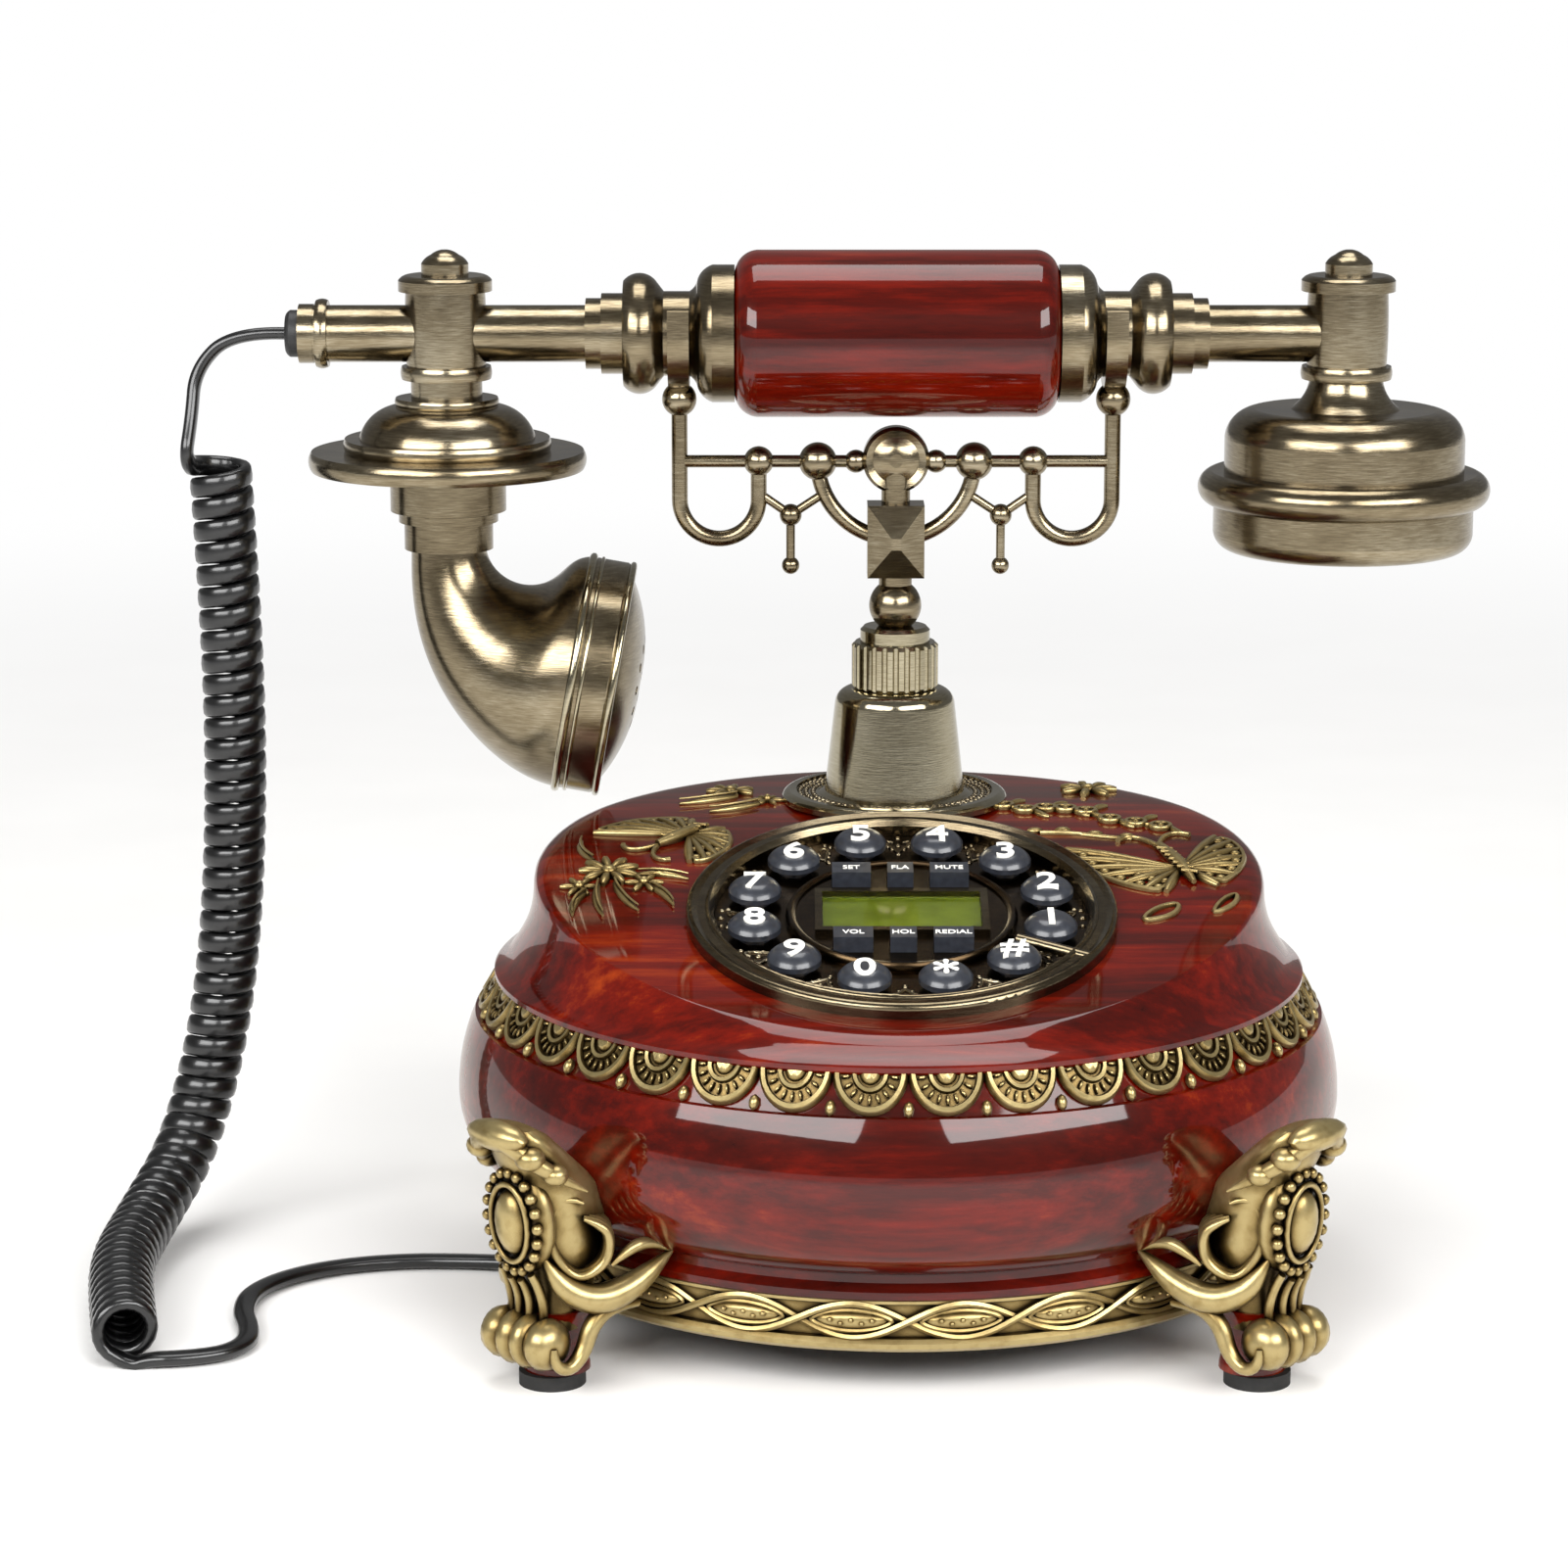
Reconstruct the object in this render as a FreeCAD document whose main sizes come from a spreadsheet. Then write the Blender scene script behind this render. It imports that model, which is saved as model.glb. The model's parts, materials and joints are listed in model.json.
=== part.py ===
import FreeCAD, Part
import math
import os
import types

import Sketcher

# French-style cradle telephone. Millimetres, +Z up, the camera side is -Y.
# The origin lies on the floor under the middle of the round base.

DIMENSIONS = {
    # Lower case, a turned bowl with a belly
    "case_floor": 11.0,
    "case_wall": 4.0,
    "plate_seat_radius": 78.0,
    "moulding_seat_radius": 83.0,
    "moulding_height": 11.0,
    "moulding_depth": 5.4,
    "waist_radius": 85.2,
    "waist_step": 1.6,
    "waist_height": 27.0,
    "belly_radius": 97.3,
    "belly_height": 45.0,
    "belly_top_radius": 93.5,
    "belly_top": 62.5,
    "rim_radius": 87.0,
    "ledge_height": 70.4,
    "scallop_depth": 1.8,
    "scallop_notch": 3.2,
    # Upper case, a lid with a flat back and a slope for the dial
    "ledge_radius": 89.1,
    "ledge_lip": 2.2,
    "cove_foot_radius": 86.8,
    "shoulder_radius": 80.2,
    "shoulder_height": 91.5,
    "plateau_radius": 70.5,
    "plateau_height": 100.0,
    "slope_start": 15.0,
    "slope_rise": 0.24,
    "spigot_depth": 4.0,
    "spigot_wall": 3.0,
    # Base plate and its screws
    "plate_thickness": 2.0,
    "post_circle": 73.5,
    "post_radius": 5.5,
    "post_height": 20.0,
    "screw_radius": 1.5,
    "screw_length": 12.0,
    "screw_head_radius": 3.0,
    "screw_head_height": 1.8,
    "sound_hole_radius": 1.5,
    "sound_hole_circle": 12.0,
    # Feet
    "foot_circle": 104.0,
    "foot_width": 18.0,
    "foot_lip_reach": 118.0,
    "foot_lip_height": 57.0,
    "foot_lip_radius": 4.6,
    "foot_lip_width": 24.0,
    "foot_roll_radius": 7.2,
    "foot_roll_height": 11.8,
    "foot_roll_reach": 108.0,
    "foot_roll_width": 22.0,
    "foot_ball_radius": 4.3,
    "foot_boss_height": 37.0,
    "foot_boss_reach": 108.0,
    "foot_leaf_reach": 91.0,
    "foot_leaf_height": 24.0,
    "foot_leaf_radius": 4.6,
    "foot_leaf_span": 40.0,
    "foot_scroll_reach": 100.5,
    "foot_scroll_height": 39.0,
    "foot_scroll_side": 14.5,
    "foot_scroll_radius": 8.0,
    "foot_scroll_thickness": 2.6,
    "foot_stand_radius": 8.0,
    "pad_radius": 7.0,
    "pad_height": 3.0,
    # Dial, measured in the slope of the lid
    "dial_place": -30.0,
    "bezel_radius": 46.2,
    "bezel_height": 3.2,
    "bezel_inner_radius": 40.2,
    "dial_opening_radius": 43.2,
    "bezel_skirt": 4.2,
    "bezel_shelf_radius": 38.2,
    "dial_plate_thickness": 2.0,
    "dial_plate_sink": 0.5,
    "dial_centre_radius": 24.2,
    "dial_centre_rise": 1.2,
    "dial_ring_width": 1.4,
    "dial_ring_height": 0.9,
    "stop_length": 17.0,
    "stop_radius": 1.3,
    # Keys
    "key_circle": 32.6,
    "key_radius": 5.7,
    "key_height": 5.2,
    "key_travel": 1.6,
    "key_stem_radius": 3.5,
    "key_flange_radius": 4.3,
    "key_flange_height": 0.8,
    "side_key_width": 8.4,
    "middle_key_width": 5.6,
    "small_key_depth": 5.0,
    "small_key_height": 3.6,
    "small_key_spread": 10.6,
    "small_key_row": 15.2,
    # Display
    "window_width": 34.0,
    "window_depth": 16.4,
    "frame_margin": 1.6,
    "frame_height": 1.3,
    "lens_thickness": 1.2,
    # Rubber key mat and circuit board
    "mat_radius": 37.4,
    "mat_thickness": 1.5,
    "mat_gap": 0.2,
    "board_thickness": 1.6,
    "board_post_circle": 36.4,
    "board_post_radius": 1.8,
    # Ringer
    "ringer_radius": 25.0,
    "ringer_height": 14.0,
    "ringer_place": 10.0,
    # Pillar on the lid
    "pillar_place": 40.0,
    "flange_radius": 25.6,
    "flange_height": 2.4,
    "cone_bottom_radius": 15.9,
    "cone_top_radius": 13.6,
    "cone_top": 126.0,
    "cone_wall": 2.2,
    "nut_radius": 9.85,
    "nut_top": 136.6,
    "nut_flutes": 24.0,
    "nut_flute_radius": 0.7,
    "washer_radius": 7.9,
    "washer_height": 3.6,
    "pillar_bore": 9.0,
    # Cradle stem and hook switch
    "stem_radius": 3.3,
    "stem_neck_radius": 3.75,
    "stem_ball_radius": 5.95,
    "stem_ball_height": 144.9,
    "stem_bottom": 89.0,
    "stem_collar_radius": 5.6,
    "stem_collar_height": 116.0,
    "stem_collar_thickness": 2.0,
    "hook_travel": 5.0,
    "spring_radius": 4.9,
    "spring_wire": 1.0,
    "spring_turns": 6.0,
    "switch_width": 26.0,
    "switch_depth": 10.0,
    "switch_height": 8.0,
    "switch_leg": 4.0,
    # Yoke of the cradle
    "block_width": 12.8,
    "block_bottom": 151.7,
    "block_top": 168.2,
    "block_depth": 9.0,
    "block_point": 3.6,
    "boss_radius": 7.5,
    "boss_height": 178.2,
    "boss_depth": 7.0,
    "boss_neck_radius": 3.25,
    "bar_radius": 1.4,
    "bar_height": 177.7,
    "hook_place": 48.7,
    "hook_bend": 8.9,
    "hook_bottom": 160.1,
    "hook_radius": 1.8,
    "arc_radius": 17.6,
    "arc_thickness": 1.8,
    "bar_bead_radius": 3.4,
    "arc_bead_radius": 4.3,
    "bar_ring_radius": 2.6,
    "bar_ring_place": 9.0,
    "drop_place": 23.7,
    "drop_height": 165.5,
    "drop_bead_radius": 2.5,
    "drop_bottom": 152.0,
    "drop_rod_radius": 1.0,
    "drop_top_height": 170.5,
    "eye_radius": 3.9,
    "eye_height": 191.75,
    "fork_width": 4.8,
    "fork_thickness": 2.6,
    "fork_top": 212.6,
    # Handset
    "handset_height": 206.5,
    "tube_radius": 6.35,
    "tube_bore": 4.6,
    "grip_half": 36.25,
    "grip_radius": 18.65,
    "grip_round": 5.0,
    "cup_radius": 15.35,
    "cup_end": 44.5,
    "waist_place": 49.2,
    "seat_radius": 9.45,
    "bulge_place": 57.5,
    "bulge_radius": 13.5,
    "bulge_half": 3.6,
    "collar_radius": 9.0,
    "collar_end": 66.0,
    "end_ring_radius": 7.9,
    "end_ring_end": 69.5,
    "hub_offset": 100.9,
    "hub_radius": 8.9,
    "hub_bulge": 6.0,
    "hub_top": 216.1,
    "hub_bottom": 199.25,
    "hub_flange_radius": 10.5,
    "hub_flange_height": 3.5,
    "hub_ring_radius": 10.25,
    "hub_ring_height": 2.85,
    "finial_radius": 5.3,
    "finial_height": 5.6,
    "stud_radius": 2.0,
    "stud_length": 5.6,
    "tail_ring_radius": 7.8,
    "tail_ring_width": 2.7,
    "tail_end_radius": 6.6,
    "tail_end_width": 3.8,
    "gland_radius": 5.25,
    "gland_length": 3.0,
    # Mouthpiece
    "mouth_neck_radius": 8.0,
    "mouth_neck_bottom": 192.2,
    "dome_ring_radius": 11.7,
    "dome_ring_height": 1.8,
    "dome_radius": 19.85,
    "dome_bottom": 183.1,
    "step_radius": 23.35,
    "step_bottom": 180.2,
    "disc_radius": 31.25,
    "disc_bottom": 176.0,
    "socket_radius": 13.05,
    "socket_bottom": 166.7,
    "socket_step_radius": 11.2,
    "socket_step_bottom": 164.2,
    "socket_end_radius": 10.0,
    "elbow_top": 158.0,
    "elbow_radius": 8.45,
    "elbow_bend": 28.0,
    "elbow_turn": 80.0,
    "elbow_straight": 5.0,
    "elbow_wall": 2.0,
    "bell_radius": 26.5,
    "mouth_cap_width": 10.0,
    "mouth_cap_crown": 5.0,
    "cap_wall": 2.4,
    "mic_radius": 20.0,
    "mic_height": 6.0,
    # Earpiece
    "ear_neck_radius": 8.2,
    "ear_flare_radius": 12.3,
    "ear_top": 189.6,
    "ear_drum_radius": 26.9,
    "ear_drum_round": 6.5,
    "ear_ring_radius": 32.75,
    "ear_ring_height": 171.8,
    "ear_ring_half": 3.75,
    "ear_wall": 2.5,
    "ear_cap_radius": 29.15,
    "ear_cap_bottom": 157.7,
    "ear_cap_round": 4.0,
    "capsule_radius": 22.0,
    "capsule_height": 8.0,
    "wire_hole_radius": 2.5,
    "perforation_radius": 1.1,
    "perforation_circle": 10.0,
    # Jack blocks under the base plate
    "jack_width": 14.0,
    "jack_length": 14.0,
    "jack_clearance": 1.4,
    "jack_reach": 60.0,
    "jack_side": -4.0,
    "port_width": 7.9,
    "port_height": 6.6,
    "port_depth": 10.0,
    "line_port_width": 9.9,
    "plug_length": 14.0,
    "plug_insert": 9.6,
    # Clearances
    "press_fit": 0.05,
    "slide_fit": 0.1,
    "loose_fit": 0.3,
    # Curly cord
    "cord_radius": 1.8,
    "curl_radius": 5.4,
    "curl_pitch": 5.1,
}

KEY_NAMES = ["2", "3", "4", "5", "6", "7", "8", "9", "0", "star", "hash", "1"]
KEY_FIRST_ANGLE = 15.0
SMALL_KEY_NAMES = [
    ("set", -1, 1), ("flash", 0, 1), ("mute", 1, 1),
    ("volume", -1, -1), ("hold", 0, -1), ("redial", 1, -1),
]
FOOT_ANGLES = [45.0, 135.0, 225.0, 315.0]
SCALLOPS = 36
STOP_ANGLE = -30.0
# Balls and domes end in a small flat at this latitude, so that their meshes close at the pole
POLE_FLAT = 84.0
X_AXIS = FreeCAD.Vector(1, 0, 0)
Y_AXIS = FreeCAD.Vector(0, 1, 0)
Z_AXIS = FreeCAD.Vector(0, 0, 1)
NO_TURN = FreeCAD.Rotation()
ALONG_X = FreeCAD.Rotation(Y_AXIS, 90)
ALONG_Y = FreeCAD.Rotation(X_AXIS, -90)

doc = FreeCAD.newDocument("CradleTelephone")


class Size:
    """A number together with the cell expression that gives it."""

    def __init__(self, value, text):
        self.value = value
        self.text = text

    def joined(self, sign, other, value):
        return Size(value, "(%s %s %s)" % (self.text, sign, other.text))

    def __add__(self, other):
        other = size(other)
        return self.joined("+", other, self.value + other.value)

    def __sub__(self, other):
        other = size(other)
        return self.joined("-", other, self.value - other.value)

    def __mul__(self, other):
        other = size(other)
        return self.joined("*", other, self.value * other.value)

    def __truediv__(self, other):
        other = size(other)
        return self.joined("/", other, self.value / other.value)

    def __radd__(self, other):
        return size(other) + self

    def __rsub__(self, other):
        return size(other) - self

    def __rmul__(self, other):
        return size(other) * self

    def __neg__(self):
        return size(-1) * self


def size(number):
    """The number as a Size, which it may be already."""
    if isinstance(number, Size):
        return number
    return Size(float(number), "%.9f" % number)


def hypotenuse(a, b):
    """The long side of a right triangle."""
    return Size(math.hypot(a.value, b.value), "sqrt(%s ^ 2 + %s ^ 2)" % (a.text, b.text))


def make_sheet():
    """Put the driving dimensions in a spreadsheet and return them by name."""
    sheet = doc.addObject("Spreadsheet::Sheet", "Dims")
    named = types.SimpleNamespace()
    for row, (alias, value) in enumerate(DIMENSIONS.items(), start=1):
        sheet.set("A%d" % row, alias)
        sheet.set("B%d" % row, "%g" % value)
        sheet.setAlias("B%d" % row, alias)
        setattr(named, alias, Size(value, "Dims." + alias))
    doc.recompute()
    return named


d = make_sheet()
SLOPE_ANGLE = math.atan(d.slope_rise.value)
SLOPE_TURN = FreeCAD.Rotation(X_AXIS, math.degrees(SLOPE_ANGLE))
slope_drop = (d.slope_start - d.dial_place) * d.slope_rise
dial_height = d.plateau_height - slope_drop


def bind(thing, prop, number):
    """Tie a property of an object to the sheet."""
    thing.setExpression(prop, size(number).text)


def put(thing, at, turn=NO_TURN):
    """Turn an object and move it to a place tied to the sheet."""
    where = [size(number) for number in at]
    thing.Placement = FreeCAD.Placement(FreeCAD.Vector(*[number.value for number in where]), turn)
    for letter, number in zip("xyz", where):
        thing.setExpression("Placement.Base." + letter, number.text)
    return thing


def on_dial(u, v, w):
    """A place given across, up and above the slope of the dial."""
    cosine = math.cos(SLOPE_ANGLE)
    sine = math.sin(SLOPE_ANGLE)
    u, v, w = size(u), size(v), size(w)
    return (u, d.dial_place + v * cosine - w * sine, dial_height + v * sine + w * cosine)


def arc_shape(start, end, sweep):
    """The arc between two sketch points that turns by sweep degrees, left turns positive."""
    chord = math.dist(start, end)
    radius = chord / 2 / math.sin(math.radians(abs(sweep)) / 2)
    rise = radius * math.cos(math.radians(abs(sweep)) / 2) * math.copysign(1, sweep)
    along = ((end[0] - start[0]) / chord, (end[1] - start[1]) / chord)
    centre_x = (start[0] + end[0]) / 2 - along[1] * rise
    centre_y = (start[1] + end[1]) / 2 + along[0] * rise
    circle = Part.Circle(FreeCAD.Vector(centre_x, centre_y, 0), Z_AXIS, radius)
    angles = [math.atan2(point[1] - centre_y, point[0] - centre_x) for point in (start, end)]
    if sweep < 0:
        angles.reverse()
    return Part.ArcOfCircle(circle, *angles)


def draw(sketch, outline):
    """Draw a closed outline of lines and arcs with every point tied to the sheet.

    Each item is (x, y), or (x, y, sweep) for an arc that arrives at the point.
    """
    points = [(size(item[0]), size(item[1])) for item in outline]
    flat = [(x.value, y.value) for x, y in points]
    count = len(outline)
    starts = []
    for index in range(count):
        following = (index + 1) % count
        sweep = outline[following][2] if len(outline[following]) > 2 else 0
        if sweep:
            sketch.addGeometry(arc_shape(flat[index], flat[following], sweep))
        else:
            ends = [FreeCAD.Vector(*flat[place], 0) for place in (index, following)]
            sketch.addGeometry(Part.LineSegment(*ends))
        starts.append((1, 2) if sweep >= 0 else (2, 1))
    for index in range(count):
        following = (index + 1) % count
        joint = Sketcher.Constraint("Coincident", index, starts[index][1], following, starts[following][0])
        sketch.addConstraint(joint)
    for index, point in enumerate(points):
        for kind, axis, number in (("DistanceX", -2, point[0]), ("DistanceY", -1, point[1])):
            if abs(number.value) < 1e-9:
                sketch.addConstraint(Sketcher.Constraint("PointOnObject", index, starts[index][0], axis))
                continue
            rule = Sketcher.Constraint(kind, -1, 1, index, starts[index][0], number.value)
            name = "%s%d" % (kind[-1].lower(), index)
            sketch.renameConstraint(sketch.addConstraint(rule), name)
            bind(sketch, "Constraints." + name, number)
    for index in range(count):
        following = (index + 1) % count
        sweep = outline[following][2] if len(outline[following]) > 2 else 0
        if sweep:
            chord = hypotenuse(points[following][0] - points[index][0], points[following][1] - points[index][1])
            radius = chord * (1 / (2 * math.sin(math.radians(abs(sweep)) / 2)))
            rule = Sketcher.Constraint("Radius", index, radius.value)
            sketch.renameConstraint(sketch.addConstraint(rule), "bend%d" % index)
            bind(sketch, "Constraints.bend%d" % index, radius)


def new_sketch(body, role):
    """An empty sketch on one of the body's own origin planes."""
    sketch = body.newObject("Sketcher::SketchObject", body.Name + "_sketch")
    plane = [feature for feature in body.Origin.OriginFeatures if feature.Role == role][0]
    sketch.AttachmentSupport = (plane, [""])
    sketch.MapMode = "FlatFace"
    return sketch


def turned(label, outline, at, turn=NO_TURN):
    """A body turned about its own Z axis, from an outline of (radius, height) points."""
    body = doc.addObject("PartDesign::Body", label)
    body.Label = label
    sketch = new_sketch(body, "XZ_Plane")
    draw(sketch, outline)
    revolution = body.newObject("PartDesign::Revolution", label + "_turned")
    revolution.Profile = sketch
    revolution.ReferenceAxis = (sketch, ["V_Axis"])
    revolution.Angle = 360
    return put(body, at, turn)


def slab(label, outline, width, at, turn=NO_TURN):
    """An outline in the X-Z plane thickened to both sides."""
    body = doc.addObject("PartDesign::Body", label)
    body.Label = label
    sketch = new_sketch(body, "XZ_Plane")
    draw(sketch, outline)
    pad = body.newObject("PartDesign::Pad", label + "_pad")
    pad.Profile = sketch
    pad.SideType = "Symmetric"
    bind(pad, "Length", width)
    return put(body, at, turn)


def box(label, lengths, at, turn=NO_TURN):
    """A box whose corner is at a place."""
    block = doc.addObject("Part::Box", label)
    block.Label = label
    for prop, number in zip(("Length", "Width", "Height"), lengths):
        bind(block, prop, number)
    return put(block, at, turn)


def rod(label, radius, length, at, turn=NO_TURN):
    """A round rod that starts at a place."""
    shaft = doc.addObject("Part::Cylinder", label)
    shaft.Label = label
    bind(shaft, "Radius", radius)
    bind(shaft, "Height", length)
    return put(shaft, at, turn)


def ball(label, radius, at):
    """A ball centred at a place."""
    bead = doc.addObject("Part::Sphere", label)
    bead.Label = label
    bind(bead, "Radius", radius)
    bead.Angle1 = -POLE_FLAT
    bead.Angle2 = POLE_FLAT
    return put(bead, at)


def hoop(label, radius, thickness, at, turn=NO_TURN, sweep=360):
    """A ring, or a part of one that starts on its own X axis."""
    ring = doc.addObject("Part::Torus", label)
    ring.Label = label
    bind(ring, "Radius1", radius)
    bind(ring, "Radius2", thickness)
    ring.Angle3 = sweep
    return put(ring, at, turn)


def dome(label, width, depth, height, at, turn=NO_TURN):
    """Half of an ellipsoid with its flat side down."""
    swell = doc.addObject("Part::Ellipsoid", label)
    swell.Label = label
    bind(swell, "Radius1", height)
    bind(swell, "Radius2", width)
    bind(swell, "Radius3", depth)
    swell.Angle1 = 0
    swell.Angle2 = POLE_FLAT
    return put(swell, at, turn)


def joined(label, pieces):
    """Pieces fused into one solid."""
    whole = doc.addObject("Part::MultiFuse", label)
    whole.Label = label
    whole.Shapes = pieces
    return whole


def grouped(label, pieces):
    """Separate pieces under one name."""
    group = doc.addObject("Part::Compound", label)
    group.Label = label
    group.Links = pieces
    return group


def cut(label, solid, tools):
    """A solid less some tools."""
    whole = doc.addObject("Part::Cut", label)
    whole.Label = label
    whole.Base = solid
    whole.Tool = tools[0] if len(tools) == 1 else grouped(label + "_tools", tools)
    return whole


def shaped(label, shape):
    """A solid made from a shape."""
    feature = doc.addObject("Part::Feature", label)
    feature.Label = label
    feature.Shape = shape
    return feature


def bulge_foot(radius, half, sweep):
    """The radius at the ends of a bulge that is as wide as radius in its middle."""
    return radius - half * math.tan(math.radians(sweep) / 4)


def sweep_from_vertical(run, rise):
    """The turn of an arc that is upright at one end and covers a run and a rise."""
    return 2 * math.degrees(math.atan2(abs(run.value), abs(rise.value)))


# Lower case and what dresses it

def case_outline(spare):
    """The outside of the lower case, grown by a spare allowance."""
    lift = d.case_floor
    bulge = sweep_from_vertical(d.belly_radius - d.waist_radius, d.belly_height - d.waist_height)
    fall = sweep_from_vertical(d.belly_radius - d.belly_top_radius, d.belly_top - d.belly_height)
    moulding_top = d.moulding_height
    return [
        (d.moulding_seat_radius + spare, 0),
        (d.moulding_seat_radius + spare, moulding_top),
        (d.waist_radius + d.waist_step + spare, moulding_top),
        (d.waist_radius + d.waist_step + spare, moulding_top + d.waist_step),
        (d.waist_radius + spare, moulding_top + d.waist_step * 2),
        (d.waist_radius + spare, d.waist_height - lift),
        (d.belly_radius + spare, d.belly_height - lift, bulge),
        (d.belly_top_radius + spare, d.belly_top - lift, fall),
        (d.belly_top_radius - d.scallop_depth + spare, d.belly_top - lift),
        (d.rim_radius + spare, d.ledge_height - lift),
    ]


def make_lower_case():
    """The bowl, open above and below, with four posts for the base plate."""
    lift = d.case_floor
    wall = d.case_wall
    inside = [
        (d.shoulder_radius - wall + d.spigot_wall + d.slide_fit, d.ledge_height - lift),
        (d.belly_top_radius - wall * 2, d.belly_top - lift),
        (d.belly_radius - wall, d.belly_height - lift + wall),
        (d.belly_radius - wall, d.belly_height - lift - wall),
        (d.waist_radius - wall, d.waist_height - lift - wall),
        (d.plate_seat_radius, d.moulding_height),
        (d.plate_seat_radius, 0),
    ]
    shell = turned("lower_case_shell", case_outline(0) + inside, (0, 0, lift))
    posts = []
    holes = []
    for index, angle in enumerate(FOOT_ANGLES):
        across = d.post_circle * math.cos(math.radians(angle))
        along = d.post_circle * math.sin(math.radians(angle))
        seat = lift + d.plate_thickness
        posts.append(rod("case_post_%d" % index, d.post_radius, d.post_height, (across, along, seat)))
        holes.append(rod("case_post_hole_%d" % index, d.screw_radius, d.screw_length, (across, along, seat)))
    cut("lower_case", joined("lower_case_posts", [shell] + posts), holes)


def make_base_plate():
    """The round plate under the case, with screws and sound holes."""
    seat = d.case_floor
    disc = rod("base_plate_disc", d.plate_seat_radius - d.loose_fit, d.plate_thickness, (0, 0, seat))
    holes = []
    screws = []
    for index, angle in enumerate(FOOT_ANGLES):
        across = d.post_circle * math.cos(math.radians(angle))
        along = d.post_circle * math.sin(math.radians(angle))
        hole_radius = d.screw_radius + d.slide_fit
        holes.append(rod("plate_hole_%d" % index, hole_radius, d.plate_thickness, (across, along, seat)))
        shank_top = d.screw_length + d.screw_head_height
        profile = [
            (0, 0), (d.screw_head_radius, 0), (d.screw_head_radius, d.screw_head_height),
            (d.screw_radius - d.press_fit, d.screw_head_height), (d.screw_radius - d.press_fit, shank_top),
            (0, shank_top),
        ]
        screws.append(turned("screw_%d" % index, profile, (across, along, seat - d.screw_head_height)))
    for index in range(8):
        turn = math.radians(index * 45)
        across = d.sound_hole_circle * math.cos(turn)
        along = d.ringer_place + d.sound_hole_circle * math.sin(turn)
        holes.append(rod("sound_hole_%d" % index, d.sound_hole_radius, d.plate_thickness, (across, along, seat)))
    cut("base_plate", disc, holes)
    grouped("base_screws", screws)


def make_base_moulding():
    """The gilt ring round the foot of the case."""
    inner = d.moulding_seat_radius + d.press_fit
    outer = d.moulding_seat_radius + d.moulding_depth
    edge = d.moulding_height / 6
    foot = bulge_foot(outer, d.moulding_height / 2 - edge, 70)
    outline = [
        (inner, 0), (foot, 0), (foot, edge), (foot, d.moulding_height - edge, 70),
        (foot, d.moulding_height), (inner, d.moulding_height),
    ]
    turned("base_moulding", outline, (0, 0, d.case_floor))


def make_scallop_band():
    """The ring of fan-shaped scallops under the ledge."""
    slant = d.belly_top_radius - d.scallop_depth - d.rim_radius
    low = d.belly_top_radius - d.scallop_depth + d.press_fit
    tall = d.ledge_height - d.belly_top
    outline = [
        (low, 0), (low + d.scallop_depth, d.scallop_depth / 3),
        (low - slant + d.scallop_depth, tall), (low - slant, tall),
    ]
    ring = turned("scallop_ring", outline, (0, 0, d.belly_top))
    notches = []
    for index in range(SCALLOPS):
        turn = FreeCAD.Rotation(Z_AXIS, index * 360 / SCALLOPS) * FreeCAD.Rotation(X_AXIS, 45)
        across = d.belly_top_radius * math.cos(math.radians(index * 360 / SCALLOPS)) * 0.9
        along = d.belly_top_radius * math.sin(math.radians(index * 360 / SCALLOPS)) * 0.9
        side = d.scallop_notch
        low_corner = d.belly_top - side * (2 ** 0.5 / 2)
        notches.append(box("notch_%d" % index, (d.belly_top_radius / 4, side, side), (across, along, low_corner), turn))
    cut("scallop_band", ring, notches)


# Upper case

def make_upper_case():
    """The lid: a coved wall, a flat back and a slope that carries the dial."""
    lift = d.ledge_height - d.spigot_depth
    wall = d.case_wall
    spigot = d.shoulder_radius - wall + d.spigot_wall
    top = d.plateau_height - lift
    crown = sweep_from_vertical(d.shoulder_radius - d.plateau_radius, d.plateau_height - d.shoulder_height)
    lip_top = d.spigot_depth + d.ledge_lip
    outer = turned("lid_outer", [
        (0, 0), (spigot, 0), (spigot, d.spigot_depth), (d.ledge_radius, d.spigot_depth),
        (d.ledge_radius, lip_top), (d.cove_foot_radius, lip_top + d.ledge_lip / 3),
        (d.shoulder_radius, d.shoulder_height - lift, -26), (d.plateau_radius, top, crown), (0, top),
    ], (0, 0, lift))
    inner_radius = spigot - d.spigot_wall
    inner = turned("lid_inner", [
        (0, 0), (inner_radius, 0), (inner_radius, d.spigot_depth + wall),
        (d.shoulder_radius - wall * 1.4, d.shoulder_height - lift - wall),
        (d.plateau_radius - wall, top - wall), (0, top - wall),
    ], (0, 0, lift))
    reach = d.ledge_radius * 1.2
    far = -reach
    rise = d.slope_rise
    width = d.ledge_radius * 2.4
    sideways = FreeCAD.Rotation(Z_AXIS, 90)
    for solid, drop, name in ((outer, size(0), "lid_slope"), (inner, wall, "lid_slope_inner")):
        height = d.plateau_height - drop
        low = height - (d.slope_start + reach) * rise
        high = d.plateau_height + wall
        outline = [(d.slope_start, height), (d.slope_start, high), (far, high), (far, low)]
        slab(name, outline, width, (0, 0, 0), sideways)
    sloped = cut("lid_sloped", outer, [doc.getObject("lid_slope")])
    hollow = cut("lid_hollow", inner, [doc.getObject("lid_slope_inner")])
    opening = rod("dial_opening", d.dial_opening_radius, wall * 6, on_dial(0, 0, -wall * 3), SLOPE_TURN)
    well = rod("pillar_well", d.pillar_bore, wall * 3, (0, d.pillar_place, d.plateau_height - wall * 2))
    cut("upper_case", sloped, [hollow, opening, well])


# Feet

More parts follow.
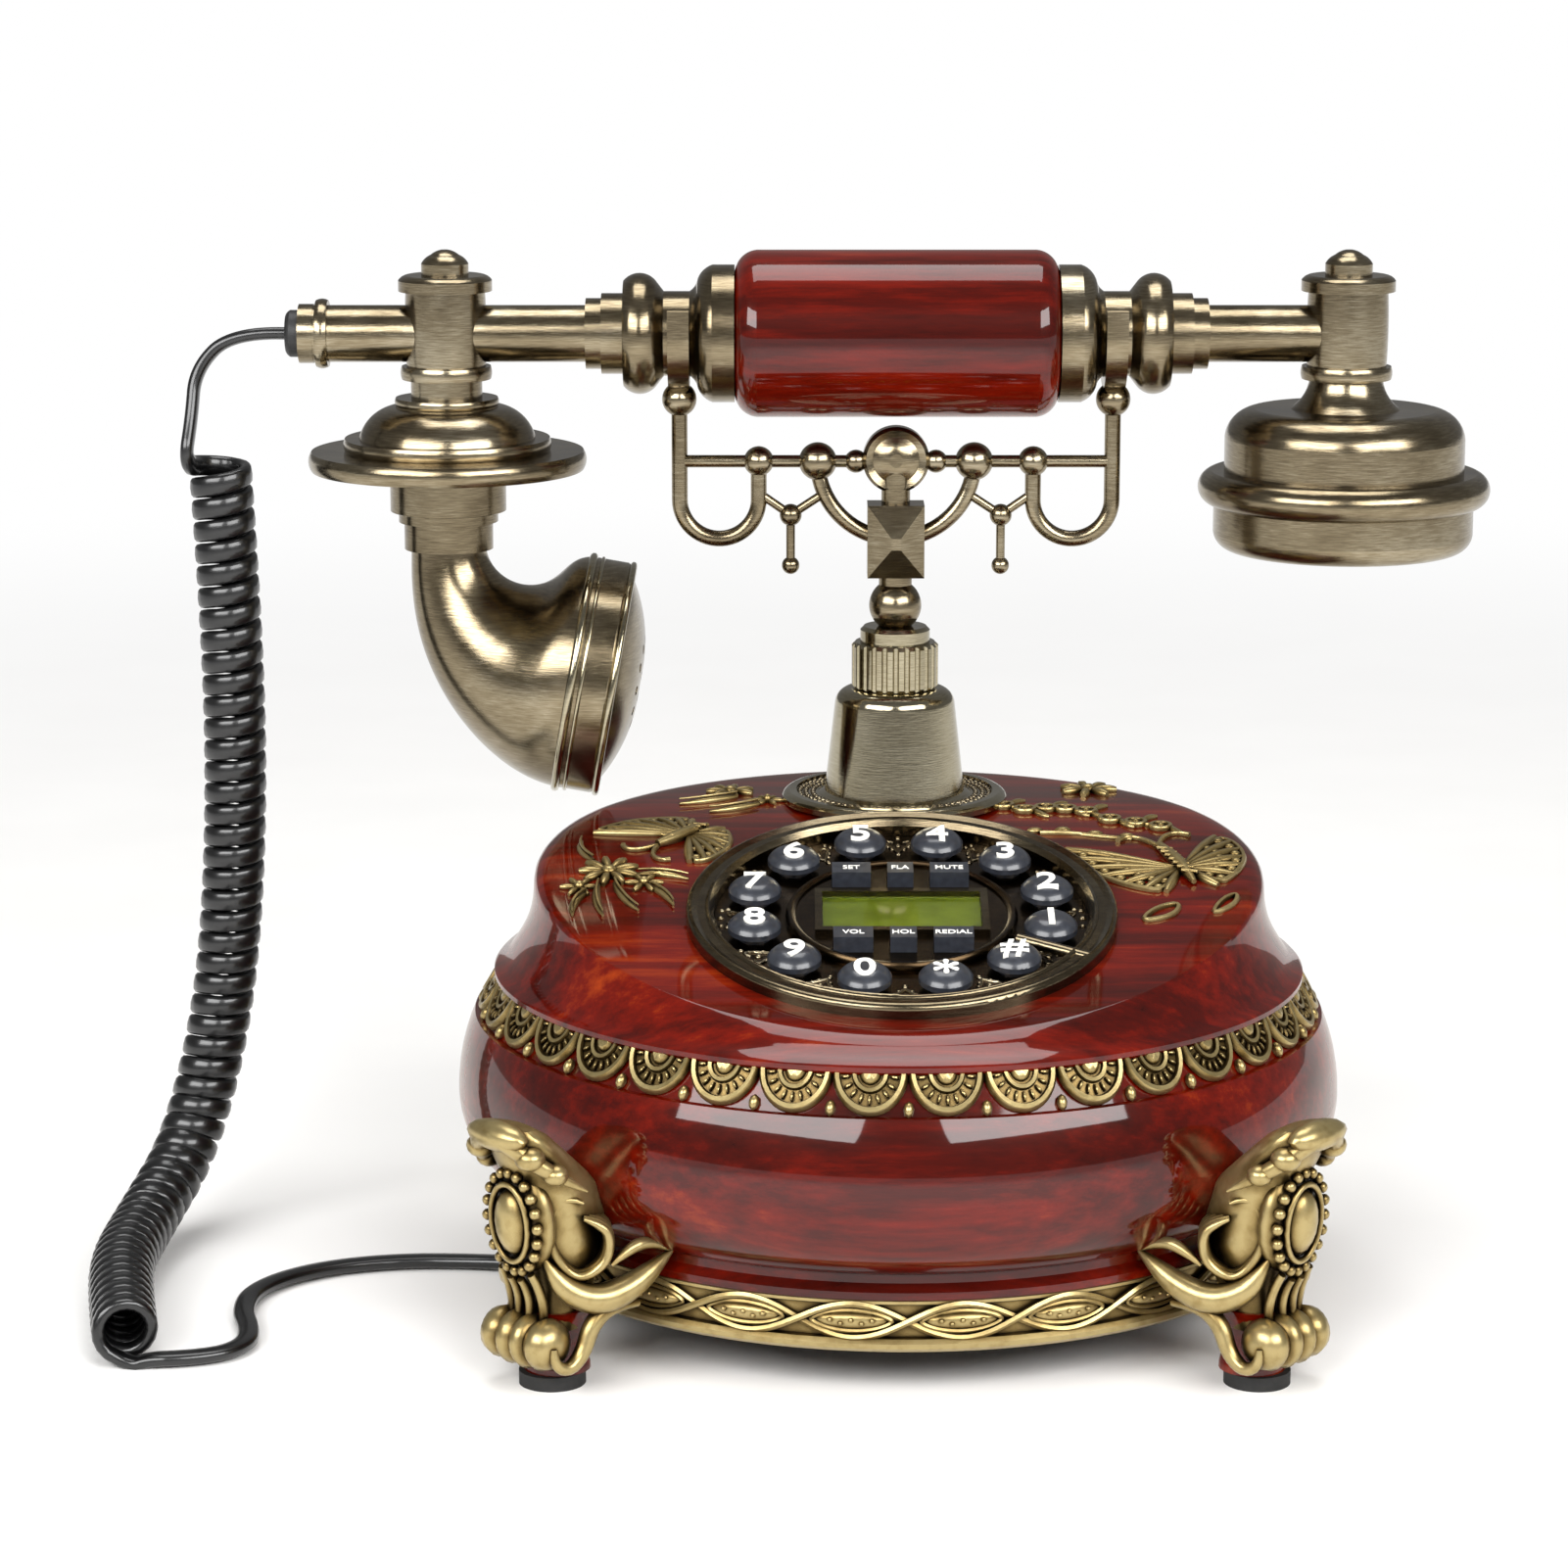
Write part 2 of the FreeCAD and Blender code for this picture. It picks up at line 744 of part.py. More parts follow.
def foot_shape():
    """One foot on the +X side: a curled bracket, a roll, side scrolls and a leaf on the base ring."""
    floor = d.pad_height
    bracket = slab("foot_bracket", [
        (d.foot_circle - d.foot_stand_radius * 2, d.foot_roll_height),
        (d.foot_roll_reach, d.foot_roll_height),
        (d.foot_boss_reach + 2, d.foot_boss_height, 20),
        (d.foot_lip_reach + d.foot_lip_radius, d.foot_lip_height, -40),
        (d.foot_lip_reach, d.foot_lip_height + d.foot_lip_radius, 80),
        (d.foot_boss_reach - d.foot_width / 2, d.foot_lip_height - d.foot_lip_radius, 20),
        (d.foot_circle - d.foot_stand_radius * 2, d.foot_boss_height),
    ], d.foot_width, (0, 0, 0))
    half_lip = d.foot_lip_width / 2
    lip_place = (d.foot_lip_reach - 1, -half_lip, d.foot_lip_height)
    lip = rod("foot_lip", d.foot_lip_radius, d.foot_lip_width, lip_place, ALONG_Y)
    half_roll = d.foot_roll_width / 2
    roll_place = (d.foot_roll_reach, -half_roll, d.foot_roll_height)
    roll = rod("foot_roll", d.foot_roll_radius, d.foot_roll_width, roll_place, ALONG_Y)
    pieces = [bracket, lip, roll]
    for side in (-1, 1):
        name = "left" if side < 0 else "right"
        ball_place = (d.foot_roll_reach, (half_roll + d.foot_ball_radius / 2) * side, d.foot_roll_height)
        pieces.append(ball("foot_ball_" + name, d.foot_ball_radius, ball_place))
        scroll_place = (d.foot_scroll_reach, d.foot_scroll_side * side, d.foot_scroll_height)
        upright = FreeCAD.Rotation(Z_AXIS, 25 * side) * ALONG_X
        scroll = hoop("foot_scroll_" + name, d.foot_scroll_radius, d.foot_scroll_thickness, scroll_place, upright)
        pieces.append(scroll)
    boss_place = (d.foot_boss_reach, 0, d.foot_boss_height)
    pieces.append(dome("foot_boss", d.foot_width / 2, d.foot_width / 2.4, d.foot_width / 4, boss_place, ALONG_X))
    start = FreeCAD.Rotation(Z_AXIS, -d.foot_leaf_span.value / 2)
    leaf = hoop("foot_leaf", d.foot_leaf_reach, d.foot_leaf_radius, (0, 0, d.foot_leaf_height), start)
    bind(leaf, "Angle3", d.foot_leaf_span)
    pieces.append(leaf)
    stand_height = d.foot_roll_height - floor
    pieces.append(rod("foot_stand", d.foot_stand_radius, stand_height, (d.foot_circle, 0, floor)))
    top = d.ledge_height - d.case_floor
    profile = [(0, 0)] + case_outline(d.press_fit) + [(0, top)]
    envelope = turned("foot_clearance", profile, (0, 0, d.case_floor))
    ring_tool = rod("foot_moulding_clearance", d.moulding_seat_radius + d.moulding_depth + d.press_fit,
                    d.moulding_height, (0, 0, d.case_floor))
    return cut("foot", joined("foot_whole", pieces), [envelope, ring_tool])


def make_feet():
    """Four feet on the diagonals, each with a rubber pad."""
    foot = foot_shape()
    doc.recompute()
    copies = []
    pads = []
    for index, angle in enumerate(FOOT_ANGLES):
        copy = foot.Shape.copy()
        copy.rotate(FreeCAD.Vector(0, 0, 0), Z_AXIS, angle)
        copies.append(copy)
        across = d.foot_circle * math.cos(math.radians(angle))
        along = d.foot_circle * math.sin(math.radians(angle))
        pads.append(rod("pad_%d" % index, d.pad_radius, d.pad_height, (across, along, 0)))
    shaped("feet", Part.makeCompound([solid for copy in copies for solid in copy.Solids]))
    grouped("foot_pads", pads)


# Dial, display and keys

def make_dial_bezel():
    """The stepped ring round the dial, with the finger stop at its lower right."""
    inner = d.bezel_inner_radius
    outer = d.bezel_radius
    rim = (outer - inner) / 5
    skirt = d.dial_opening_radius - d.loose_fit
    high = d.bezel_skirt + d.bezel_height
    shelf = d.bezel_skirt - d.dial_plate_sink - d.dial_plate_thickness
    profile = [
        (d.bezel_shelf_radius, 0), (skirt, 0), (skirt, d.bezel_skirt), (outer, d.bezel_skirt),
        (outer, high - rim), (outer - rim, high, 80), (outer - rim * 2, high - rim / 2),
        (inner + rim * 1.6, high - rim / 2), (inner + rim * 0.8, high, 80), (inner, high - rim),
        (inner, shelf), (d.bezel_shelf_radius, shelf),
    ]
    ring = turned("bezel_ring", profile, on_dial(0, 0, -d.bezel_skirt), SLOPE_TURN)
    turn = math.radians(STOP_ANGLE)
    start = d.bezel_radius - rim - d.stop_length
    stop_height = d.bezel_height - d.stop_radius
    place = on_dial(start * math.cos(turn), start * math.sin(turn), stop_height)
    lay = SLOPE_TURN * FreeCAD.Rotation(Z_AXIS, STOP_ANGLE) * ALONG_X
    stop = rod("finger_stop", d.stop_radius, d.stop_length, place, lay)
    joined("dial_bezel", [ring, stop])


def key_angle(index):
    """The place of a number key on its circle, in radians."""
    return math.radians(KEY_FIRST_ANGLE + index * 360 / len(KEY_NAMES))


def small_key_place(column, row):
    """The place of a function key across and up the dial, and its width."""
    width = d.side_key_width if column else d.middle_key_width
    return d.small_key_spread * column, d.small_key_row * row, width


def plate_top():
    """The outer level of the dial plate above the slope."""
    return -d.dial_plate_sink


def centre_top():
    """The raised middle of the dial plate above the slope."""
    return plate_top() + d.dial_centre_rise


def make_dial_plate():
    """The face of the dial with openings for the keys and the display, and posts for the board."""
    thick = d.dial_plate_thickness
    centre = d.dial_centre_radius
    ring = d.dial_ring_width
    tall = thick + d.dial_centre_rise
    rim = d.bezel_inner_radius - d.slide_fit
    face = turned("dial_face", [
        (0, 0), (rim, 0), (rim, thick), (centre + ring / 2, thick), (centre, tall + d.dial_ring_height, 60),
        (centre - ring, tall + d.dial_ring_height / 2, 40), (centre - ring, tall), (0, tall),
    ], on_dial(0, 0, plate_top() - thick), SLOPE_TURN)
    posts = []
    below = d.key_flange_height + d.key_travel + d.mat_gap + d.mat_thickness
    for index in range(4):
        turn = math.radians(index * 90)
        across = d.board_post_circle * math.cos(turn)
        along = d.board_post_circle * math.sin(turn)
        foot = on_dial(across, along, plate_top() - thick - below)
        posts.append(rod("board_post_%d" % index, d.board_post_radius, below, foot, SLOPE_TURN))
    holes = []
    through = thick * 3
    for index, name in enumerate(KEY_NAMES):
        across = d.key_circle * math.cos(key_angle(index))
        along = d.key_circle * math.sin(key_angle(index))
        radius = d.key_stem_radius + d.slide_fit
        place = on_dial(across, along, plate_top() - thick * 2)
        holes.append(rod("key_hole_" + name, radius, through, place, SLOPE_TURN))
    for name, column, row in SMALL_KEY_NAMES:
        across, along, width = small_key_place(column, row)
        wide = width + d.slide_fit * 2
        deep = d.small_key_depth + d.slide_fit * 2
        corner = on_dial(across - wide / 2, along - deep / 2, plate_top() - thick * 2)
        holes.append(box("small_key_hole_" + name, (wide, deep, through + thick), corner, SLOPE_TURN))
    corner = on_dial(-d.window_width / 2, -d.window_depth / 2, plate_top() - thick * 2)
    holes.append(box("window_hole", (d.window_width, d.window_depth, through + thick), corner, SLOPE_TURN))
    cut("dial_plate", joined("dial_plate_posts", [face] + posts), holes)


def make_display():
    """The frame, the clear window and the panel behind it."""
    wide = d.window_width + d.frame_margin * 2
    deep = d.window_depth + d.frame_margin * 2
    corner = on_dial(-wide / 2, -deep / 2, centre_top())
    outer = box("frame_outer", (wide, deep, d.frame_height), corner, SLOPE_TURN)
    corner = on_dial(-d.window_width / 2, -d.window_depth / 2, centre_top() - d.frame_height)
    inner = box("frame_inner", (d.window_width, d.window_depth, d.frame_height * 3), corner, SLOPE_TURN)
    cut("display_frame", outer, [inner])
    wide = d.window_width - d.slide_fit * 2
    deep = d.window_depth - d.slide_fit * 2
    panel_top = centre_top() - d.lens_thickness
    corner = on_dial(-wide / 2, -deep / 2, panel_top)
    box("display_lens", (wide, deep, d.lens_thickness), corner, SLOPE_TURN)
    corner = on_dial(-wide / 2, -deep / 2, board_top())
    box("display_panel", (wide, deep, panel_top - board_top()), corner, SLOPE_TURN)


def mat_top():
    """The top of the rubber mat above the slope."""
    return plate_top() - d.dial_plate_thickness - d.key_flange_height - d.key_travel - d.mat_gap


def board_top():
    """The top of the circuit board above the slope."""
    return mat_top() - d.mat_thickness


def make_key_board():
    """The rubber mat and the circuit board under the keys."""
    sheet = rod("mat_sheet", d.mat_radius, d.mat_thickness, on_dial(0, 0, board_top()), SLOPE_TURN)
    holes = []
    for index in range(4):
        turn = math.radians(index * 90)
        place = on_dial(d.board_post_circle * math.cos(turn), d.board_post_circle * math.sin(turn), board_top())
        radius = d.board_post_radius + d.loose_fit
        holes.append(rod("mat_hole_%d" % index, radius, d.mat_thickness, place, SLOPE_TURN))
    corner = on_dial(-d.window_width / 2, -d.window_depth / 2, board_top())
    holes.append(box("mat_window", (d.window_width, d.window_depth, d.mat_thickness), corner, SLOPE_TURN))
    cut("key_mat", sheet, holes)
    place = on_dial(0, 0, board_top() - d.board_thickness)
    rod("circuit_board", d.board_post_circle + d.board_post_radius, d.board_thickness, place, SLOPE_TURN)


def make_keys():
    """Twelve round number keys and six small function keys, each with a flange that holds it in."""
    flange = d.key_flange_height
    stem = flange + d.dial_plate_thickness + d.key_travel + d.slide_fit
    crown = d.key_height - d.key_travel - d.slide_fit
    for index, name in enumerate(KEY_NAMES):
        across = d.key_circle * math.cos(key_angle(index))
        along = d.key_circle * math.sin(key_angle(index))
        place = on_dial(across, along, plate_top() - d.dial_plate_thickness - flange)
        turned("key_" + name, [
            (0, 0), (d.key_flange_radius, 0), (d.key_flange_radius, flange), (d.key_stem_radius, flange),
            (d.key_stem_radius, stem), (d.key_radius, stem), (d.key_radius, stem + crown / 3),
            (d.key_radius / 3, stem + crown, 60), (0, stem + crown),
        ], place, SLOPE_TURN)
    tall = flange + d.dial_plate_thickness + d.dial_centre_rise + d.small_key_height
    for name, column, row in SMALL_KEY_NAMES:
        across, along, width = small_key_place(column, row)
        low = plate_top() - d.dial_plate_thickness - flange
        corner = on_dial(across - width / 2, along - d.small_key_depth / 2, low)
        shank = box("shank_" + name, (width, d.small_key_depth, tall), corner, SLOPE_TURN)
        wide = width + flange
        deep = d.small_key_depth + flange
        corner = on_dial(across - wide / 2, along - deep / 2, low)
        foot = box("shank_foot_" + name, (wide, deep, flange), corner, SLOPE_TURN)
        joined("key_" + name, [shank, foot])


# Gilt reliefs on the lid

def make_reliefs():
    """A butterfly and a flower in low relief to each side of the dial."""
    swells = []
    for side in (-1, 1):
        name = "left" if side < 0 else "right"
        for wing, (across, along, wide, deep, turn) in enumerate((
                (50.0, 38.0, 7.0, 3.4, 30), (38.0, 39.0, 7.0, 3.4, -30),
                (48.5, 33.0, 4.6, 2.6, -35), (40.0, 34.0, 4.6, 2.6, 35), (44.2, 36.5, 1.4, 6.0, 0))):
            lay = SLOPE_TURN * FreeCAD.Rotation(Z_AXIS, turn * side)
            place = on_dial(size(across) * side, along, 0)
            swells.append(dome("wing_%s_%d" % (name, wing), wide, deep, 1.6, place, lay))
        for petal in range(6):
            turn = petal * 60
            across = 63.0 * side + 4.2 * math.cos(math.radians(turn))
            along = 27.0 + 4.2 * math.sin(math.radians(turn))
            lay = SLOPE_TURN * FreeCAD.Rotation(Z_AXIS, turn)
            swells.append(dome("petal_%s_%d" % (name, petal), 3.6, 2.2, 1.8, on_dial(across, along, 0), lay))
        for leaf in range(3):
            across = (62.0 + leaf) * side
            along = 17.0 - leaf * 8.0
            lay = SLOPE_TURN * FreeCAD.Rotation(Z_AXIS, (60 + leaf * 12) * side)
            swells.append(dome("leaf_%s_%d" % (name, leaf), 5.6, 2.4, 1.4, on_dial(across, along, 0), lay))
    joined("gilt_reliefs", swells)


# Pillar, cradle and hook switch

def make_pillar():
    """The flange, the hollow cone and the knurled nut that guides the stem."""
    high = d.flange_height
    step = d.flange_radius / 8
    bush = d.stem_radius + d.slide_fit
    base = d.plateau_height
    turned("pillar_flange", [
        (bush, 0), (d.flange_radius, 0), (d.flange_radius, high / 2), (d.flange_radius - step / 2, high, 50),
        (d.flange_radius - step, high), (d.flange_radius - step, high * 0.7),
        (d.cone_bottom_radius + step / 2, high * 0.7), (d.cone_bottom_radius, high), (bush, high),
    ], (0, d.pillar_place, base))
    tall = d.cone_top - base - high
    wall = d.cone_wall
    neck = d.stem_neck_radius + d.slide_fit
    turned("pillar_cone", [
        (d.cone_bottom_radius - wall, 0), (d.cone_bottom_radius, 0), (d.cone_top_radius, tall - wall * 1.5),
        (d.cone_top_radius - wall * 1.5, tall, 80), (neck, tall), (neck, tall - wall),
        (d.cone_top_radius - wall * 1.5, tall - wall),
    ], (0, d.pillar_place, base + high))
    nut_tall = d.nut_top - d.cone_top
    edge = d.nut_radius / 12
    body = turned("nut_body", [
        (neck, 0), (d.nut_radius - edge, 0), (d.nut_radius, edge), (d.nut_radius, nut_tall - edge),
        (d.nut_radius - edge, nut_tall), (d.washer_radius, nut_tall),
        (d.washer_radius, nut_tall + d.washer_height - edge), (d.washer_radius - edge, nut_tall + d.washer_height),
        (neck, nut_tall + d.washer_height),
    ], (0, d.pillar_place, d.cone_top))
    flutes = []
    count = int(d.nut_flutes.value)
    for index in range(count):
        turn = 2 * math.pi * index / count
        across = d.nut_radius * math.cos(turn)
        along = d.pillar_place + d.nut_radius * math.sin(turn)
        flutes.append(rod("flute_%d" % index, d.nut_flute_radius, nut_tall, (across, along, d.cone_top)))
    cut("pillar_nut", body, flutes)


def make_stem():
    """The stem that carries the yoke, with the collar that its spring lifts."""
    low = d.stem_bottom
    neck = d.stem_neck_radius
    collar = d.stem_collar_height - low
    neck_start = d.cone_top - d.hook_travel - low
    centre = d.stem_ball_height - low
    reach = d.stem_ball_radius * 0.8
    waist = d.stem_ball_radius * 0.6
    collar_top = collar + d.stem_collar_thickness
    turned("cradle_stem", [
        (0, 0), (d.stem_radius, 0), (d.stem_radius, collar), (d.stem_collar_radius, collar),
        (d.stem_collar_radius, collar_top), (d.stem_radius, collar_top), (d.stem_radius, neck_start),
        (neck, neck_start), (neck, centre - reach), (waist, centre - reach), (waist, centre + reach, 106),
        (neck, centre + reach), (neck, d.block_bottom - low), (0, d.block_bottom - low),
    ], (0, d.pillar_place, low))


def make_hook_switch():
    """The switch that hangs from the lid under the stem, and the spring round the stem."""
    roof = d.plateau_height - d.case_wall
    plunger = d.stem_radius / 2
    top = d.stem_bottom - d.loose_fit
    body_top = top - plunger
    low = body_top - d.switch_height
    half = d.switch_width / 2
    deep = d.switch_depth
    leg = d.switch_leg
    front = d.pillar_place - deep / 2
    body = box("switch_body", (d.switch_width, deep, d.switch_height), (-half, front, low))
    legs = []
    for side in (-1, 1):
        across = (half - leg / 2) * side - leg / 2
        legs.append(box("switch_leg_%d" % (side + 1), (leg, deep, roof - low), (across, front, low)))
    button = rod("switch_button", plunger, plunger, (0, d.pillar_place, body_top))
    joined("hook_switch", [body, button] + legs)


# Yoke

def make_yoke():
    """The cross bar, hooks, half ring, drops, block, boss and the two forks that carry the handset."""
    middle = d.pillar_place
    flip = FreeCAD.Rotation(X_AXIS, 90)
    pieces = []
    block_tall = d.block_top - d.block_bottom
    half = d.block_width / 2
    pieces.append(box("block", (d.block_width, d.block_depth, block_tall),
                      (-half, middle - d.block_depth / 2, d.block_bottom)))
    for side in (-1, 1):
        point = doc.addObject("Part::Wedge", "block_point_%d" % (side + 1))
        zero = size(0)
        for prop, number in (("Xmin", -half), ("Xmax", half), ("Ymin", zero), ("Ymax", d.block_point),
                             ("Zmin", zero), ("Zmax", block_tall), ("X2min", -half / 6), ("X2max", half / 6),
                             ("Z2min", block_tall * 0.42), ("Z2max", block_tall * 0.58)):
            bind(point, prop, number)
        face = middle + d.block_depth / 2 * side
        turn = NO_TURN if side > 0 else FreeCAD.Rotation(Z_AXIS, 180)
        pieces.append(put(point, (0, face, d.block_bottom), turn))
    neck_tall = d.boss_height - d.block_top
    pieces.append(rod("boss_neck", d.boss_neck_radius, neck_tall, (0, middle, d.block_top)))
    deep = d.boss_depth
    rim = d.boss_radius
    pieces.append(turned("boss", [
        (0, 0), (rim * 0.2, 0), (rim * 0.55, deep * 0.12, 30), (rim * 0.7, deep * 0.22),
        (rim * 0.9, deep * 0.1), (rim, deep * 0.25), (rim, deep * 0.75), (rim * 0.9, deep * 0.9),
        (rim * 0.7, deep * 0.78), (rim * 0.55, deep * 0.88), (rim * 0.2, deep, 30), (0, deep),
    ], (0, middle + deep / 2, d.boss_height), flip))
    pieces.append(rod("bar", d.bar_radius, d.hook_place * 2, (-d.hook_place, middle, d.bar_height), ALONG_X))
    pieces.append(hoop("half_ring", d.arc_radius, d.arc_thickness, (0, middle, d.bar_height), ALONG_Y, 180))
    bend_height = d.hook_bottom + d.hook_bend
    inner_place = d.hook_place - d.hook_bend * 2
    for side in (-1, 1):
        name = "left" if side < 0 else "right"
        hook_x = d.hook_place * side
        inner_x = inner_place * side
        pieces.append(rod("hook_outer_" + name, d.hook_radius, d.eye_height - bend_height,
                          (hook_x, middle, bend_height)))
        centre_x = (d.hook_place - d.hook_bend) * side
        pieces.append(hoop("hook_bend_" + name, d.hook_bend, d.hook_radius, (centre_x, middle, bend_height),
                           ALONG_Y, 180))
        pieces.append(rod("hook_inner_" + name, d.hook_radius, d.bar_height - bend_height,
                          (inner_x, middle, bend_height)))
        pieces.append(ball("hook_bead_" + name, d.bar_bead_radius, (inner_x, middle, d.bar_height)))
        pieces.append(ball("arc_bead_" + name, d.arc_bead_radius, (d.arc_radius * side, middle, d.bar_height)))
        pieces.append(ball("bar_ring_" + name, d.bar_ring_radius, (d.bar_ring_place * side, middle, d.bar_height)))
        pieces.append(ball("eye_" + name, d.eye_radius, (hook_x, middle, d.eye_height)))
        pieces += make_drop(name, side, inner_x)
        pieces.append(make_fork(name, hook_x))
    joined("cradle_yoke", pieces)


def make_drop(name, side, inner_x):
    """The bead that hangs between a hook and the half ring."""
    middle = d.pillar_place
    hang = FreeCAD.Vector(d.drop_place.value * side, middle.value, d.drop_height.value)
    level = d.drop_top_height.value - d.bar_height.value
    arc_x = math.sqrt(d.arc_radius.value ** 2 - level ** 2) * side
    pieces = []
    for end, across in (("hook", inner_x.value), ("ring", arc_x)):
        top = FreeCAD.Vector(across, middle.value, d.drop_top_height.value)
        turn = FreeCAD.Rotation(Z_AXIS, top - hang)
        wire = rod("drop_%s_%s" % (end, name), d.drop_rod_radius, (top - hang).Length,
                   (d.drop_place * side, middle, d.drop_height), turn)
        pieces.append(wire)
    pieces.append(ball("drop_bead_" + name, d.drop_bead_radius, (d.drop_place * side, middle, d.drop_height)))
    stem_tall = d.drop_height - d.drop_bottom - d.drop_bead_radius
    low = d.drop_bottom + d.drop_bead_radius
    pieces.append(rod("drop_stem_" + name, d.drop_rod_radius, stem_tall, (d.drop_place * side, middle, low)))
    pieces.append(ball("drop_end_" + name, d.drop_bead_radius * 0.8,
                       (d.drop_place * side, middle, d.drop_bottom + d.drop_bead_radius * 0.8)))
    return pieces


def make_fork(name, hook_x):
    """A fork, open at the top, round the waist of the handset."""
    middle = d.pillar_place
    inner = d.seat_radius + d.loose_fit
    outer = inner + d.fork_thickness
    start = hook_x - d.fork_width / 2
    lower = rod("fork_lower_" + name, outer, d.fork_width, (start, middle, d.handset_height), ALONG_X)
    prong_tall = d.fork_top - d.handset_height
    upper = box("fork_upper_" + name, (d.fork_width, outer * 2, prong_tall),
                (start, middle - outer, d.handset_height))
    top_tool = box("fork_top_" + name, (d.fork_width, outer * 2, outer),
                   (start, middle - outer, d.handset_height + prong_tall))
    seat = rod("fork_seat_" + name, inner, d.fork_width, (start, middle, d.handset_height), ALONG_X)
    mouth = box("fork_mouth_" + name, (d.fork_width, inner * 2, outer), (start, middle - inner, d.handset_height))
    return cut("fork_" + name, joined("fork_blank_" + name, [lower, upper]), [top_tool, seat, mouth])


# Handset

def make_grip():
    """The lacquered grip, the tube through it, and the turned collars at its ends."""
    middle = d.pillar_place
    bore = d.tube_radius + d.press_fit
    half = d.grip_half
    ease = d.grip_round
    turned("handset_grip", [
        (bore, 0), (d.grip_radius - ease, 0), (d.grip_radius, ease, 80), (d.grip_radius, half * 2 - ease),
        (d.grip_radius - ease, half * 2, 80), (bore, half * 2),
    ], (-half, middle, d.handset_height), ALONG_X)
    tail = d.hub_offset + d.ear_ring_radius
    length = tail + d.hub_offset
    ring_start = d.tail_end_width + d.tail_ring_width
    gap = d.tail_ring_width / 5
    ring_foot = bulge_foot(d.tail_ring_radius, d.tail_ring_width / 2, 60)
    turned("handset_tube", [
        (d.tube_bore, 0), (d.tail_end_radius, 0), (d.tail_end_radius, d.tail_end_width - gap),
        (d.tube_radius, d.tail_end_width - gap), (d.tube_radius, d.tail_end_width),
        (ring_foot, d.tail_end_width), (ring_foot, ring_start, 60),
        (d.tube_radius, ring_start), (d.tube_radius, length), (d.tube_bore, length),
    ], (-tail, middle, d.handset_height), ALONG_X)
    collars = []
    for side in (-1, 1):
        name = "left" if side < 0 else "right"
        turn = FreeCAD.Rotation(Y_AXIS, 90 * side)
        cup = d.cup_end - half
        waist = d.waist_place - half
        bulge = d.bulge_place - half
        wide = d.bulge_half
        foot = bulge_foot(d.bulge_radius, wide, 100)
        collar_end = d.collar_end - half
        ring_end = d.end_ring_end - half
        collars.append(turned("collar_" + name, [
            (bore, 0), (d.cup_radius, 0), (d.cup_radius, cup * 0.6), (d.cup_radius * 0.8, cup, 50),
            (d.seat_radius, waist - d.fork_width * 0.6, -50), (d.seat_radius, waist + d.fork_width * 0.6),
            (foot, bulge - wide), (foot, bulge + wide, 100),
            (d.collar_radius, bulge + wide), (d.collar_radius, collar_end), (d.end_ring_radius, collar_end),
            (d.end_ring_radius, ring_end), (bore, ring_end),
        ], (half * side, middle, d.handset_height), turn))
    grouped("grip_collars", collars)
    turned("cord_gland", [
        (d.cord_radius + d.press_fit, 0), (d.gland_radius * 0.8, 0), (d.gland_radius, d.gland_length / 3, 40),
        (d.gland_radius, d.gland_length), (d.cord_radius + d.press_fit, d.gland_length),
    ], (-tail - d.gland_length, middle, d.handset_height), ALONG_X)


def hub_upper(low):
    """The barrel of a hub from its ring up to its flange, with the bore for the cap nut."""
    barrel = d.hub_bottom - low
    top = d.hub_top - low
    cap = top + d.hub_flange_height
    stud = d.stud_radius + d.press_fit
    floor = cap - d.stud_length - d.press_fit
    ring = bulge_foot(d.hub_ring_radius, d.hub_ring_height / 2, 40)
    return [
        (ring, barrel - d.hub_ring_height), (ring, barrel, 40), (d.hub_radius, barrel),
        (d.hub_radius, top, d.hub_bulge.value), (d.hub_flange_radius, top),
        (d.hub_flange_radius, cap - d.hub_flange_height / 3),
        (d.hub_flange_radius - d.hub_flange_height / 2, cap, 50), (stud, cap), (stud, floor), (0, floor),
    ]


def make_hubs():
    """The upright hubs at the ends of the tube, and the cap nuts on them."""
    middle = d.pillar_place
    bore = d.tube_radius + d.press_fit
    low = d.mouth_neck_bottom
    neck = d.hub_bottom - d.hub_ring_height
    left = turned("hub_left_solid", [
        (0, 0), (d.mouth_neck_radius, 0), (d.mouth_neck_radius, neck - low),
    ] + hub_upper(low), (-d.hub_offset, middle, low))
    low = d.ear_top
    right = turned("hub_right_solid", [
        (0, 0), (d.ear_flare_radius, 0), (d.ear_neck_radius, neck - low, -50),
    ] + hub_upper(low), (d.hub_offset, middle, low))
    reach = d.hub_ring_radius * 2.4
    through = rod("hub_bore_left", bore, reach, (-d.hub_offset - reach / 2, middle, d.handset_height), ALONG_X)
    start = d.hub_offset - reach
    blind = rod("hub_bore_right", bore, reach, (start, middle, d.handset_height), ALONG_X)
    grouped("handset_hubs", [cut("hub_left", left, [through]), cut("hub_right", right, [blind])])
    nuts = []
    for side in (-1, 1):
        stud = d.stud_length
        tall = d.finial_height
        nuts.append(turned("finial_%d" % (side + 1), [
            (0, 0), (d.stud_radius, 0), (d.stud_radius, stud), (d.finial_radius, stud),
            (d.finial_radius, stud + tall * 0.45), (d.finial_radius * 0.6, stud + tall * 0.8, 40),
            (d.finial_radius / 6, stud + tall, 30), (0, stud + tall),
        ], (d.hub_offset * side, middle, d.hub_top + d.hub_flange_height - stud)))
    grouped("finial_nuts", nuts)


